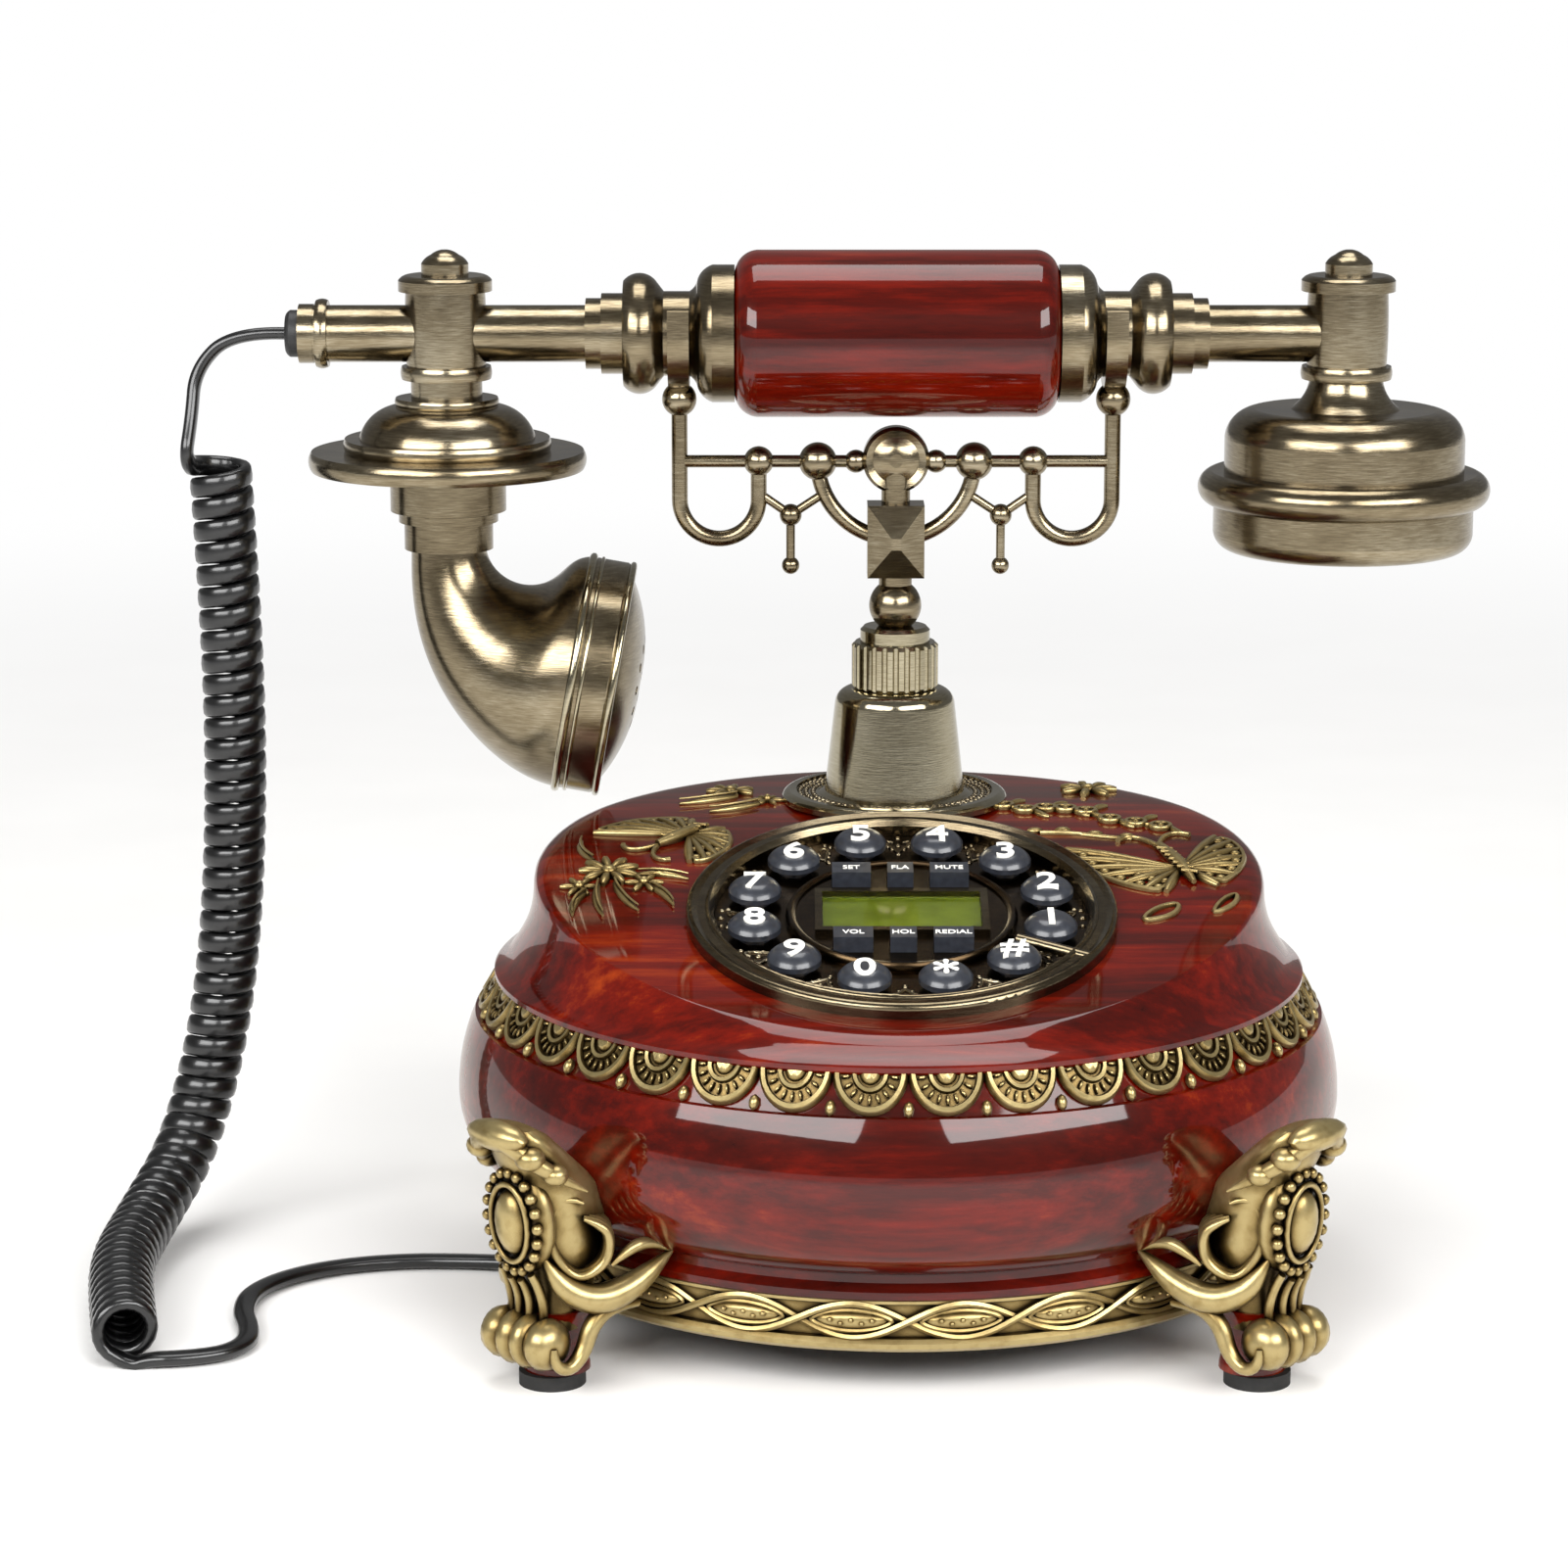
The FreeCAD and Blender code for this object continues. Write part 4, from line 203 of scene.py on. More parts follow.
redLacquer = makeRedLacquer()
antiqueBrass = makeBrass("antiqueBrass", ("#473b2a", "#82765f", "#b5ac96"), 0.26, 0.13)
polishedBrass = makeBrass("polishedBrass", ("#7d745c", "#a39a82", "#b9b29c"), 0.16, 0.07)  # cone, nut, rims
rimBronze = makeBrass("rimBronze", ("#40372a", "#6a5f4b", "#8e846d"), 0.24, 0.12)  # dial bezel
darkBronze = makeBrass("darkBronze", ("#1f1710", "#3c2f20", "#5a4a34"), 0.3, 0.12)  # dial plate, left dark
gilt = makeGilt()
slate = makePlain("slateKeyPlastic", "#23252b", "#2f3239", 0.3, 1.5, coat=0.3)
figureWhite = makePlain("printedWhite", "#e6e4dc", "#f4f2ea", 0.5, 1.0)
olive = makePlain("displayGreen", "#93a31c", "#a8b82c", 0.3, 6.0)
rubber = makePlain("blackRubber", "#141414", "#1e1d1c", 0.75, 1.0)
boardGreen = makePlain("boardResist", "#123d1c", "#1a5226", 0.45, 2.0)
blackPlastic = makePlain("blackMoulding", "#121212", "#1a1a1a", 0.5, 0.8)
zinc = makePlain("zincPlate", "#8f9192", "#b5b7b8", 0.35, 1.0, metallic=1.0)
vinyl = makePlain("blackVinyl", "#050505", "#0b0b0c", 0.3, 2.0, coat=0.3)
clearPlug = makePlain("clearPlug", "#b9b8b2", "#cfcec8", 0.2, 2.0)
window = makeWindow()

slotMaterials = {
    "red_lacquer": redLacquer, "antique_brass": antiqueBrass, "gilt": gilt, "key_slate": slate, "window": window,
    "display": olive, "rubber": rubber, "board": boardGreen, "black_plastic": blackPlastic, "steel": zinc,
    "cord": vinyl, "clear_plug": clearPlug,
}
for part in frame["record"]["subparts"]:
    mesh = nodes[part["node"]].data
    mesh.materials.clear()
    mesh.materials.append(slotMaterials[part["material_slot"]])
for name in ("pillar_flange", "pillar_cone", "pillar_nut"):
    nodes[name].data.materials[0] = polishedBrass
for name in ("dial_bezel", "display_frame"):
    nodes[name].data.materials[0] = rimBronze
nodes["dial_plate"].data.materials[0] = darkBronze
nodes["cord_gland"].data.materials[0] = blackPlastic
print("materials done")


# camera, floor and light

cameraSetup = {  # focus and frame in pixels, sensor in millimetres
    "place": (-0.0252, -0.9781, 0.3198), "pitch": 78.0, "sensor": 36.0, "focus": 4650, "frame": 1601, "near": 0.01,
}

studio = {
    "lamps": {  # place, width, height, watts: two soft boxes with a gap between them, one above
        "leftBox": ((-0.72, -1.0, 0.78), 1.2, 0.55, 22), "rightBox": ((0.72, -1.0, 0.78), 1.2, 0.55, 22),
        "topBox": ((0.0, 0.3, 1.8), 1.2, 0.9, 17)},
    "aim": (0, 0, 0.1), "worldTone": "#f6f6f6", "worldLevel": 0.24,
    "floorHalf": 14.0, "floorFade": (0.3, 1.2), "paperTones": ("#f0efed", "#f3f2f0"),
}


def makeFloor():
    # pale paper sweep: takes the shadow near the object and fades to the white of the background
    material, tree, shader, place = newMaterial("palePaper", Roughness=0.8)
    grain = addNode(tree, "ShaderNodeTexNoise", Vector=place, Scale=perMm(60), Detail=2.0)
    stops = list(zip((0.3, 0.7), studio["paperTones"]))
    paper = addNode(tree, "ShaderNodeValToRGB", {"stops": stops}, Fac=grain.outputs["Fac"])
    tree.links.new(paper.outputs[0], shader.inputs["Base Color"])
    white = addNode(tree, "ShaderNodeEmission", Color=hexColor("#ffffff"), Strength=1.0)
    away = addNode(tree, "ShaderNodeVectorMath", {"operation": "LENGTH"}, _0=place)
    near, far = studio["floorFade"]
    fade = addNode(tree, "ShaderNodeMapRange", {"interpolation_type": "SMOOTHSTEP"}, Value=away.outputs["Value"],
                   From_Min=near, From_Max=far)
    # the white is only for what the camera sees, straight or in a mirror or through glass
    path = addNode(tree, "ShaderNodeLightPath")
    seen = path.outputs["Is Camera Ray"]
    for kind in ("Is Glossy Ray", "Is Transmission Ray"):
        seen = addNode(tree, "ShaderNodeMath", {"operation": "MAXIMUM"}, _0=seen, _1=path.outputs[kind]).outputs[0]
    share = addNode(tree, "ShaderNodeMath", {"operation": "MULTIPLY"}, _0=fade.outputs[0], _1=seen)
    mixed = addNode(tree, "ShaderNodeMixShader", _0=share.outputs[0], _1=shader.outputs[0], _2=white.outputs[0])
    output = next(node for node in tree.nodes if node.type == "OUTPUT_MATERIAL")
    tree.links.new(mixed.outputs[0], output.inputs["Surface"])
    return material


def makeStage():
    lens = bpy.data.cameras.new("photoCamera")
    lens.sensor_width = cameraSetup["sensor"]
    lens.lens = cameraSetup["focus"] * cameraSetup["sensor"] / cameraSetup["frame"]
    lens.clip_start = cameraSetup["near"]
    camera = bpy.data.objects.new("photoCamera", lens)
    camera.location = cameraSetup["place"]
    camera.rotation_euler = (math.radians(cameraSetup["pitch"]), 0, 0)
    bpy.context.scene.collection.objects.link(camera)
    bpy.context.scene.camera = camera
    bm = bmesh.new()
    bmesh.ops.create_grid(bm, x_segments=1, y_segments=1, size=studio["floorHalf"])
    smoothPiece(bm, "floor", makeFloor())
    for name, (place, wide, high, power) in studio["lamps"].items():
        lamp = bpy.data.lights.new(name, "AREA")
        lamp.shape = "RECTANGLE"
        lamp.size = wide
        lamp.size_y = high
        lamp.energy = power
        light = bpy.data.objects.new(name, lamp)
        light.location = place
        light.rotation_euler = (Vector(studio["aim"]) - Vector(place)).to_track_quat("-Z", "Y").to_euler()
        bpy.context.scene.collection.objects.link(light)
    world = bpy.data.worlds.new("studio")
    bpy.context.scene.world = world
    world.use_nodes = True
    back = world.node_tree.nodes["Background"]
    back.inputs["Color"].default_value = hexColor(studio["worldTone"])
    back.inputs["Strength"].default_value = studio["worldLevel"]
    bpy.context.scene.view_settings.view_transform = "Standard"


makeStage()
print("stage done")


# handset cord: lead, curls and lead on one flat strand

cordRoute = {
    "topLead": [(-136.65, 40, 206.5), (-148.6, 40, 206.9), (-157.2, 40, 198.5), (-157.9, 37, 188)],
    "axis": [(-152.2, 40, 177), (-150.2, 40, 136), (-150.6, 40, 92), (-154.2, 40, 52), (-162, 34, 20),
             (-170, 12, 8.2), (-171.5, -16, 7.6), (-168, -42, 7.6), (-164, -64, 7.6)],
    "baseLead": [(-155.4, -64.9, 1.95), (-146, -63.5, 1.95), (-139.5, -56, 1.95), (-140, -45.5, 1.95),
                 (-143, -34, 1.95), (-142.5, -21, 1.95), (-136, -10, 1.95), (-125, -2, 1.95), (-110, 2, 1.95),
                 (-95, 1.5, 1.95), (-82, -2, 2.6), (-72, -3.9, 5.6), (-64.4, -4, 6.2)],
    "width": 4.7, "thickness": 2.8, "squareness": (0.6, 0.8), "sides": 12,  # a circle squared off to a flat section
    "curlRadius": 5.75, "turns": 51.25, "firstAngle": 90.0, "stepsPerTurn": 20,
    "leadIn": 8.0, "leadOut": 2.2, "landing": 3.0, "settle": 0.5, "floorGap": 0.05,
}


def smoothLine(points, resolution, closed=False):
    # curve data with one smooth line that has the points as its control points
    data = bpy.data.curves.new("line", "CURVE")
    data.dimensions = "3D"
    spline = data.splines.new("NURBS")
    spline.points.add(len(points) - 1)
    for target, point in zip(spline.points, points):
        target.co = (*point, 1.0)
    spline.order_u = 3
    spline.use_endpoint_u = not closed
    spline.use_cyclic_u = closed
    spline.resolution_u = resolution
    return data


def addCurve(bm, data):
    # puts the mesh of a curve or a text into the bmesh and clears the curve away
    holder = bpy.data.objects.new("holder", data)
    mesh = bpy.data.meshes.new_from_object(holder)
    bm.from_mesh(mesh)
    bpy.data.objects.remove(holder)
    bpy.data.curves.remove(data)
    bpy.data.meshes.remove(mesh)


def splinePoints(points, resolution):
    # places in metres along a smooth line, from a route in millimetres
    bm = bmesh.new()
    addCurve(bm, smoothLine([[c * mm for c in point] for point in points], resolution))
    found = [vert.co.copy() for vert in bm.verts]
    bm.free()
    return found


def evenly(points, count):
    # the same line with points an equal way apart
    reached = [0.0]
    for a, b in zip(points, points[1:]):
        reached.append(reached[-1] + (b - a).length)
    spread = []
    place = 0
    for i in range(count):
        goal = reached[-1] * i / (count - 1)
        while place < len(points) - 2 and reached[place + 1] < goal:
            place += 1
        share = (goal - reached[place]) / max(reached[place + 1] - reached[place], 1e-9)
        spread.append(points[place].lerp(points[place + 1], min(share, 1.0)))
    return spread


def squareTo(heading, vector):
    return (vector - heading * vector.dot(heading)).normalized()


def curlPoints():
    # a helix round the axis route, with the direction of the axis at each point
    steps = cordRoute["stepsPerTurn"]
    count = int(round(cordRoute["turns"] * steps))
    axis = evenly(splinePoints(cordRoute["axis"], 24), count + 1)
    normal = Vector((0, -1, 0))
    curl = []
    for i, point in enumerate(axis):
        ahead = (axis[min(i + 1, count)] - axis[max(i - 1, 0)]).normalized()
        normal = squareTo(ahead, normal)
        side = ahead.cross(normal)
        angle = math.radians(cordRoute["firstAngle"]) + 2 * math.pi * i / steps
        outward = normal * math.cos(angle) + side * math.sin(angle)
        curl.append((point + outward * cordRoute["curlRadius"] * mm, ahead))
    return curl


def cordLeads(curl):
    # the upper lead comes in along the first curl, the other one leaves along the last
    start, end = curl[0][0], curl[-1][0]
    corner = start / mm - (curl[1][0] - start).normalized() * cordRoute["leadIn"]
    lead = splinePoints(cordRoute["topLead"] + [corner, start / mm], 12)
    tail = splinePoints(cordRoute["baseLead"], 10)
    leaving = end + (end - curl[-2][0]) * cordRoute["leadOut"]
    landing = tail[0] - Vector((cordRoute["landing"] * mm, 0, 0))
    out = splinePoints([place / mm for place in (end, leaving, landing, tail[0])], 8)
    return lead[:-1], out[1:-1] + tail


def flatSides(curl, heading, first):
    # where the strand's flat side points: along the axis on the curls, and carried on over both leads
    last = first + len(curl)
    wide = [None] * len(heading)
    for i in range(first, last):
        wide[i] = squareTo(heading[i], curl[i - first][1])
    for i in range(first - 1, -1, -1):
        wide[i] = squareTo(heading[i], wide[i + 1])
    for i in range(last, len(heading)):  # on the floor the flat side settles down
        wide[i] = squareTo(heading[i], wide[i - 1])
        level = heading[i].cross(Vector((0, 0, 1))).normalized()
        level = level if level.dot(wide[i]) >= 0 else -level
        wide[i] = wide[i].lerp(level, cordRoute["settle"]).normalized()
    return wide


def makeCord():
    curl = curlPoints()
    lead, tail = cordLeads(curl)
    path = lead + [spot for spot, ahead in curl] + tail
    count = len(path)
    heading = [(path[min(i + 1, count - 1)] - path[max(i - 1, 0)]).normalized() for i in range(count)]
    wide = flatSides(curl, heading, len(lead))
    section = []
    for c, s in roundTurns(cordRoute["sides"]):
        flat, edge = cordRoute["squareness"]
        section.append((math.copysign(abs(c) ** flat, c) * cordRoute["width"] / 2 * mm,
                        math.copysign(abs(s) ** edge, s) * cordRoute["thickness"] / 2 * mm))
    bm = bmesh.new()
    rings = []
    for i in range(count):
        thin = heading[i].cross(wide[i])
        spots = [path[i] + wide[i] * across + thin * through for across, through in section]
        for spot in spots:  # the strand gives where it lies on the floor
            spot.z = max(spot.z, cordRoute["floorGap"] * mm)
        rings.append([bm.verts.new(spot) for spot in spots])
    for a, b in zip(rings, rings[1:]):
        for k in range(len(section)):
            bm.faces.new((a[k - 1], a[k], b[k], b[k - 1]))
    bm.faces.new(rings[0])
    bm.faces.new(rings[-1])
    cord = smoothPiece(bm, "handsetCord", vinyl, 60)
    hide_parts("cord_top_lead", "cord_curl", "cord_base_lead")
    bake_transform(cord)


makeCord()
print("cord done")


# shared tools for the ornaments, which are modelled in millimetres

def newVerts(bm, before):
    return [vert for vert in bm.verts if vert not in before]


def addTube(bm, points, radii, closed=False, sides=2):
    # a rod along a smooth line, as thick at each point as the radii say
    data = smoothLine(points, 4, closed)
    for i, target in enumerate(data.splines[0].points):
        target.radius = radii[i] if isinstance(radii, (list, tuple)) else radii
    data.bevel_depth = 1.0
    data.bevel_resolution = sides
    data.use_fill_caps = True
    addCurve(bm, data)


def addBall(bm, place, scale, segments, turn=None):
    matrix = Matrix.Translation(place) @ (turn or Matrix()) @ Matrix.Diagonal((*scale, 1.0))
    bmesh.ops.create_uvsphere(bm, u_segments=segments, v_segments=max(6, segments // 2), radius=1.0, matrix=matrix)


def addTurned(bm, outline, steps, angle=2 * math.pi):
    # a turned shape: an outline of (radius, height) spun about Z
    line = [bm.verts.new((r, 0, z)) for r, z in outline]
    edges = [bm.edges.new(pair) for pair in zip(line, line[1:])]
    bmesh.ops.spin(bm, geom=line + edges, cent=(0, 0, 0), axis=(0, 0, 1), angle=angle, steps=steps,
                   use_merge=angle == 2 * math.pi)


def copyRound(bm, count, first=0.0):
    # copies of all that is in the bmesh, evenly round the Z axis
    bmesh.ops.rotate(bm, verts=bm.verts[:], cent=(0, 0, 0), matrix=Matrix.Rotation(math.radians(first), 3, "Z"))
    bmesh.ops.spin(bm, geom=bm.verts[:] + bm.edges[:] + bm.faces[:], cent=(0, 0, 0), axis=(0, 0, 1),
                   angle=2 * math.pi * (count - 1) / count, steps=count - 1, use_duplicate=True)


def inMetres(bm):
    bmesh.ops.scale(bm, verts=bm.verts[:], vec=(mm, mm, mm))


# lid: turned, then pressed down to the dial's slope with a soft edge

lid = {
    "foot": [(84.0, 70.4), (88.5, 70.4), (89.1, 71.0), (89.1, 72.0), (88.5, 72.6), (86.9, 73.3)],
    "shoulder": (80.2, 91.5), "plateau": (70.5, 100.0),  # radius and height
    "wallHollow": 1.9, "wallSteps": 8, "crownPower": 2.2, "crownSpread": 1.6, "topRings": (68, 3),
    "slopeStart": 15.0, "slopeRise": 0.24, "pressedAbove": 73.4, "softEdge": 7.0,
    "dialPlace": -30.0, "dialHole": 42.6, "holeAbove": 80.0, "steps": 180, "wall": 2.5,
}


def softMin(a, b, soft):
    near = max(soft - abs(a - b), 0.0) / soft
    return min(a, b) - near * near * soft / 4


def slopeHeight(y):
    return lid["plateau"][1] - (lid["slopeStart"] - y) * lid["slopeRise"]


def crownHeight(r):
    # the rounded shoulder between the wall and the flat top
    outR, low = lid["shoulder"]
    inR, high = lid["plateau"]
    if r <= inR:
        return high
    share = min((r - inR) / (outR - inR), 1.0)
    return low + (high - low) * math.sqrt(max(1.0 - share ** lid["crownPower"], 0.0))


def lidHeight(x, y):
    return softMin(crownHeight(math.hypot(x, y)), slopeHeight(y), lid["softEdge"])


dialCentre = (0, lid["dialPlace"], slopeHeight(lid["dialPlace"]))
dialFrame = Matrix.Translation(dialCentre) @ Matrix.Rotation(math.atan(lid["slopeRise"]), 4, "X")


def makeLid():
    outline = list(lid["foot"])
    footR, footZ = outline[-1]
    outR, low = lid["shoulder"]
    inR, high = lid["plateau"]
    shares = [i / lid["wallSteps"] for i in range(1, lid["wallSteps"] + 1)]
    for share in shares:  # hollow wall
        hollow = lid["wallHollow"] * math.sin(math.pi * share)
        outline.append((footR + (outR - footR) * share - hollow, footZ + (low - footZ) * share))
    for share in shares:  # rounded shoulder
        r = outR - (outR - inR) * share ** lid["crownSpread"]
        outline.append((r, crownHeight(r)))
    widest, apart = lid["topRings"]
    outline += [(r, high) for r in range(widest, 0, -apart)] + [(0.0, high)]
    bm = bmesh.new()
    addTurned(bm, outline, lid["steps"])
    for vert in bm.verts:
        if vert.co.z > lid["pressedAbove"]:
            vert.co.z = softMin(vert.co.z, slopeHeight(vert.co.y), lid["softEdge"])
    toDial = dialFrame.inverted()
    under = [face for face in bm.faces if face.calc_center_median().z > lid["holeAbove"]
             and (toDial @ face.calc_center_median()).xy.length < lid["dialHole"]]
    bmesh.ops.delete(bm, geom=under, context="FACES")
    inMetres(bm)
    cover = placePiece(smoothPiece(bm, "lidShell", redLacquer, 40), "base", "red_lacquer", "upper_case")
    wall = cover.modifiers.new("wall", "SOLIDIFY")
    wall.thickness = lid["wall"] * mm
    wall.offset = -1


makeLid()
print("lid done")


# beaded rims of the mouthpiece, where the bell ends and where its cap turns in

mouthRim = {
    "centre": (-73.0, 40.0, 129.5), "down": 10.0, "points": 32, "outset": 1.005,
    "beads": [(0.2, 26.5, 1.0), (2.4, 26.5, 0.5), (9.4, 26.2, 0.8)],  # place along the bell, radius, thickness
}


def makeMouthRims():
    turn = math.radians(mouthRim["down"])
    ahead = Vector((math.cos(turn), 0, -math.sin(turn)))
    side = Vector((0, 1, 0))
    up = ahead.cross(side)
    bm = bmesh.new()
    for along, radius, thick in mouthRim["beads"]:
        middle = Vector(mouthRim["centre"]) + ahead * along
        ring = [middle + (side * c + up * s) * radius * mouthRim["outset"] for c, s in roundTurns(mouthRim["points"])]
        addTube(bm, ring, thick, closed=True, sides=3)
    inMetres(bm)
    placePiece(smoothPiece(bm, "mouthRims", polishedBrass, 60), "handset", "antique_brass")


makeMouthRims()
print("mouth rims done")


# scallop band: fans with ringed hearts and a drop between each two

scallops = {
    "count": 36, "firstAngle": 5.0, "top": (87.3, 70.4), "bottom": (92.0, 62.5),
    "rings": [(0.0, 1.5), (1.5, 1.5), (2.0, 1.1), (2.3, 0.5), (2.7, 0.5), (2.9, 1.2), (3.6, 1.3), (3.9, 0.5),
              (6.1, 0.4), (6.4, 1.3), (7.2, 1.4), (7.7, 0.7), (7.8, 0.0)],
    "steps": 18, "reach": 7.9, "teeth": 9, "tooth": (1.1, 0.42, 0.9), "toothPlace": (5.0, 0, 0.5),
    "drop": (1.1, 1.5, 1.2), "dropPlace": (8.0, 6.4, 0.1),
}


def makeScallops():
    bm = bmesh.new()
    addTurned(bm, scallops["rings"] + [(0.0, 0.0)], scallops["steps"], angle=math.pi)
    bmesh.ops.remove_doubles(bm, verts=bm.verts[:], dist=1e-4)
    bmesh.ops.holes_fill(bm, edges=[edge for edge in bm.edges if edge.is_boundary], sides=0)
    for i in range(scallops["teeth"]):
        turn = Matrix.Rotation(math.pi * (i + 0.5) / scallops["teeth"], 4, "Z")
        addBall(bm, (0, 0, 0), scallops["tooth"], 6, turn @ Matrix.Translation(scallops["toothPlace"]))
    addBall(bm, scallops["dropPlace"], scallops["drop"], 8)
    # the half disc turns over so that it hangs, then leans on the band's cone
    topR, topZ = scallops["top"]
    lowR, lowZ = scallops["bottom"]
    lean = math.atan2(lowR - topR, topZ - lowZ)
    reach = math.hypot(lowR - topR, topZ - lowZ)
    bmesh.ops.scale(bm, verts=bm.verts[:], vec=(1.0, reach / scallops["reach"], 1.0))
    outward = Matrix(((0, math.sin(lean), math.cos(lean), topR), (1, 0, 0, 0),
                      (0, -math.cos(lean), math.sin(lean), topZ), (0, 0, 0, 1)))
    bmesh.ops.transform(bm, matrix=outward, verts=bm.verts[:])
    copyRound(bm, scallops["count"], scallops["firstAngle"])
    inMetres(bm)
    placePiece(smoothPiece(bm, "scallopBand", gilt), "base", "gilt", "scallop_band")


makeScallops()
print("scallops done")


# base moulding: two ribbons that cross between leaf eyes, over a plain bead

moulding = {
    "count": 24, "steps": 160,
    "outline": [(83.1, 11.0), (86.9, 11.0), (88.0, 11.9), (88.2, 13.0), (87.5, 13.9), (86.4, 14.2), (86.4, 20.9),
                (87.2, 21.3), (87.2, 21.9), (83.1, 22.0)],
    "middle": 17.6, "seat": 86.9,  # height and radius of the pattern
    "eye": (1.5, 7.6, 1.9), "eyeSink": 0.4, "rim": 0.5, "rimOval": (8.6, 2.3), "rimPoint": 0.4, "rimOut": 0.2,
    "dots": 5, "dot": (0.45, 0.6, 0.45), "dotApart": 2.2, "dotSwing": 0.35, "dotOut": 1.0,
    "ribbon": 0.75, "ribbonSwing": 3.915, "ribbonOut": 0.25, "ribbonWeave": 0.35,
}


def makeMoulding():
    seat, middle, count = moulding["seat"], moulding["middle"], moulding["count"]
    bm = bmesh.new()
    addBall(bm, (seat - moulding["eyeSink"], 0, middle), moulding["eye"], 16)
    rim = []
    halfLong, halfHigh = moulding["rimOval"]
    for c, s in roundTurns(12):
        along, up = halfLong * c, halfHigh * s * abs(s) ** moulding["rimPoint"]
        rim.append((math.sqrt((seat + moulding["rimOut"]) ** 2 - along ** 2), along, middle + up))
    addTube(bm, rim, moulding["rim"], closed=True, sides=1)
    for i in range(moulding["dots"]):  # stipple on the eye
        along = moulding["dotApart"] * (i - (moulding["dots"] - 1) / 2)
        addBall(bm, (seat + moulding["dotOut"], along, middle + moulding["dotSwing"] * (-1) ** i), moulding["dot"], 6)
    copyRound(bm, count, 360 / count / 2)
    for side in (-1, 1):
        line = []
        for i, (c, s) in enumerate(roundTurns(count * 4)):
            wave = math.pi * i / 4
            r = seat + moulding["ribbonOut"] + moulding["ribbonWeave"] * side * math.cos(wave)
            line.append((r * c, r * s, middle + side * moulding["ribbonSwing"] * math.sin(wave)))
        addTube(bm, line, moulding["ribbon"], closed=True, sides=1)
    addTurned(bm, moulding["outline"] + moulding["outline"][:1], moulding["steps"])
    inMetres(bm)
    placePiece(smoothPiece(bm, "baseMoulding", gilt), "base", "gilt", "base_moulding")


makeMoulding()
print("moulding done")


# feet: a cast leg with a curled lip, pearl cartouche, side shells, crescent leaves and a ringed roll
# X is outwards, Y along the case, Z up

foot = {
    "count": 4, "firstAngle": 45.0,
    "leg": [  # height, inside, outside, half width
        (57.8, 112, 118.4, 6.5), (55.5, 108, 119.4, 8.6), (52, 104, 117.4, 8.8), (47.5, 99, 115.2, 8.8),
        (43, 94, 114.6, 9), (37, 91.5, 114, 9), (31, 91, 113, 9), (26, 93, 110.5, 8.4), (22, 95, 109.4, 8),
        (18, 97, 110, 7.4), (13, 98, 111, 7)],
    "lip": [(105.5, 13, 44.5), (111.5, 10.8, 48.2), (116.4, 8, 52), (119.2, 4.4, 55.6), (120, 0, 56.8)],
    "lipWidth": [0.3, 1.7, 1.9, 2.1, 2.3],
    "lobes": [((118.4, 0, 56.4), (3.6, 8.6, 3.2)), ((116.2, 7.4, 52.4), (3.2, 3.3, 2.6)),
              ((111.8, 10.2, 48.6), (2.7, 2.8, 2.3))],
    "roll": [(0.0, 4.8), (0.6, 5.3), (2.2, 6.0), (3.6, 5.3), (4.1, 4.4), (4.5, 4.8), (6.4, 5.6), (8.6, 4.9),
             (10.2, 3.0), (10.8, 0.0)],  # one half: place from the middle and radius
    "rollPlace": (111.4, 0, 11.4),
    "cartouche": (115.6, 0, 37.0), "lean": 4.0, "oval": (7.6, 10.6), "pearls": 20, "pearl": 1.25, "pearlDepth": -1.0,
    "domes": [(-1.4, 3.4, 0.62, 0.68), (-4.2, 4.0, 1.16, 1.1)],  # depth, bulge, shares of the oval
    "ovalRim": (-0.2, 0.7, 0.74, 0.8),  # depth, thickness, shares of the oval
    "shell": [(103.8, 9.9, 40.8), (106.9, 7.8, 42.8), (109.9, 6.2, 38.6), (110.2, 6.2, 32.6), (107.4, 8.4, 26.4),
              (104.4, 10.6, 24.8), (100.4, 13.4, 28.2), (99.6, 13.6, 33.8), (101.7, 12.2, 36.4), (104.2, 10.4, 37.6)],
    "shellWalls": [(0.0, 1.0), (1.6, 1.25), (3.4, 1.25), (5.2, 1.25), (7.0, 1.25)],  # depth and thickness
    "shellTaper": [0.35, 0.9] + [1.0] * 6 + [0.9, 0.35], "shellInward": (-0.62, -0.78, 0.0),
    "leaf": [(111.2, 5.4, 30), (109.2, 7.4, 24.8), (106.0, 9.8, 21.4), (101.2, 12.8, 20.0), (94.6, 14.6, 22.0),
             (89.4, 16.0, 25.4), (85.6, 17.0, 28.4)],
    "leafWidth": [0.4, 2.3, 3.0, 3.3, 2.9, 1.9, 0.5],
    "vine": [(85.6, 17.0, 28.4), (90.0, 15.6, 31.2), (95.4, 14.4, 30.4), (99.6, 13.6, 27.4)],
    "vineWidth": [0.5, 1.3, 1.4, 0.4],
    "stem": [(92, 13.5, 17.6), (99, 12.6, 18.6), (103.5, 11.4, 15), (105.4, 11.2, 9.4), (109.4, 11.0, 6.2),
             (113.2, 10.6, 8.4), (113.0, 10.4, 11.6)],
    "stemWidth": [0.8, 1.8, 2.0, 1.8, 1.5, 1.2, 0.8],
    "flutes": [[(113.6, 4.4, 26.5), (110.0, 5.0, 21), (110.6, 4.6, 15.5)],
               [(113.8, 1.5, 25), (110.4, 1.6, 20.5), (111.8, 1.6, 16)]],
    "fluteWidth": [0.9, 1.3, 0.9],
    "stand": [(0.0, 3.0), (7.0, 3.0), (6.9, 4.4), (6.0, 7.5), (6.4, 12.0), (8.4, 17.0), (0.0, 17.0)],
    "standPlace": 102.6,
}


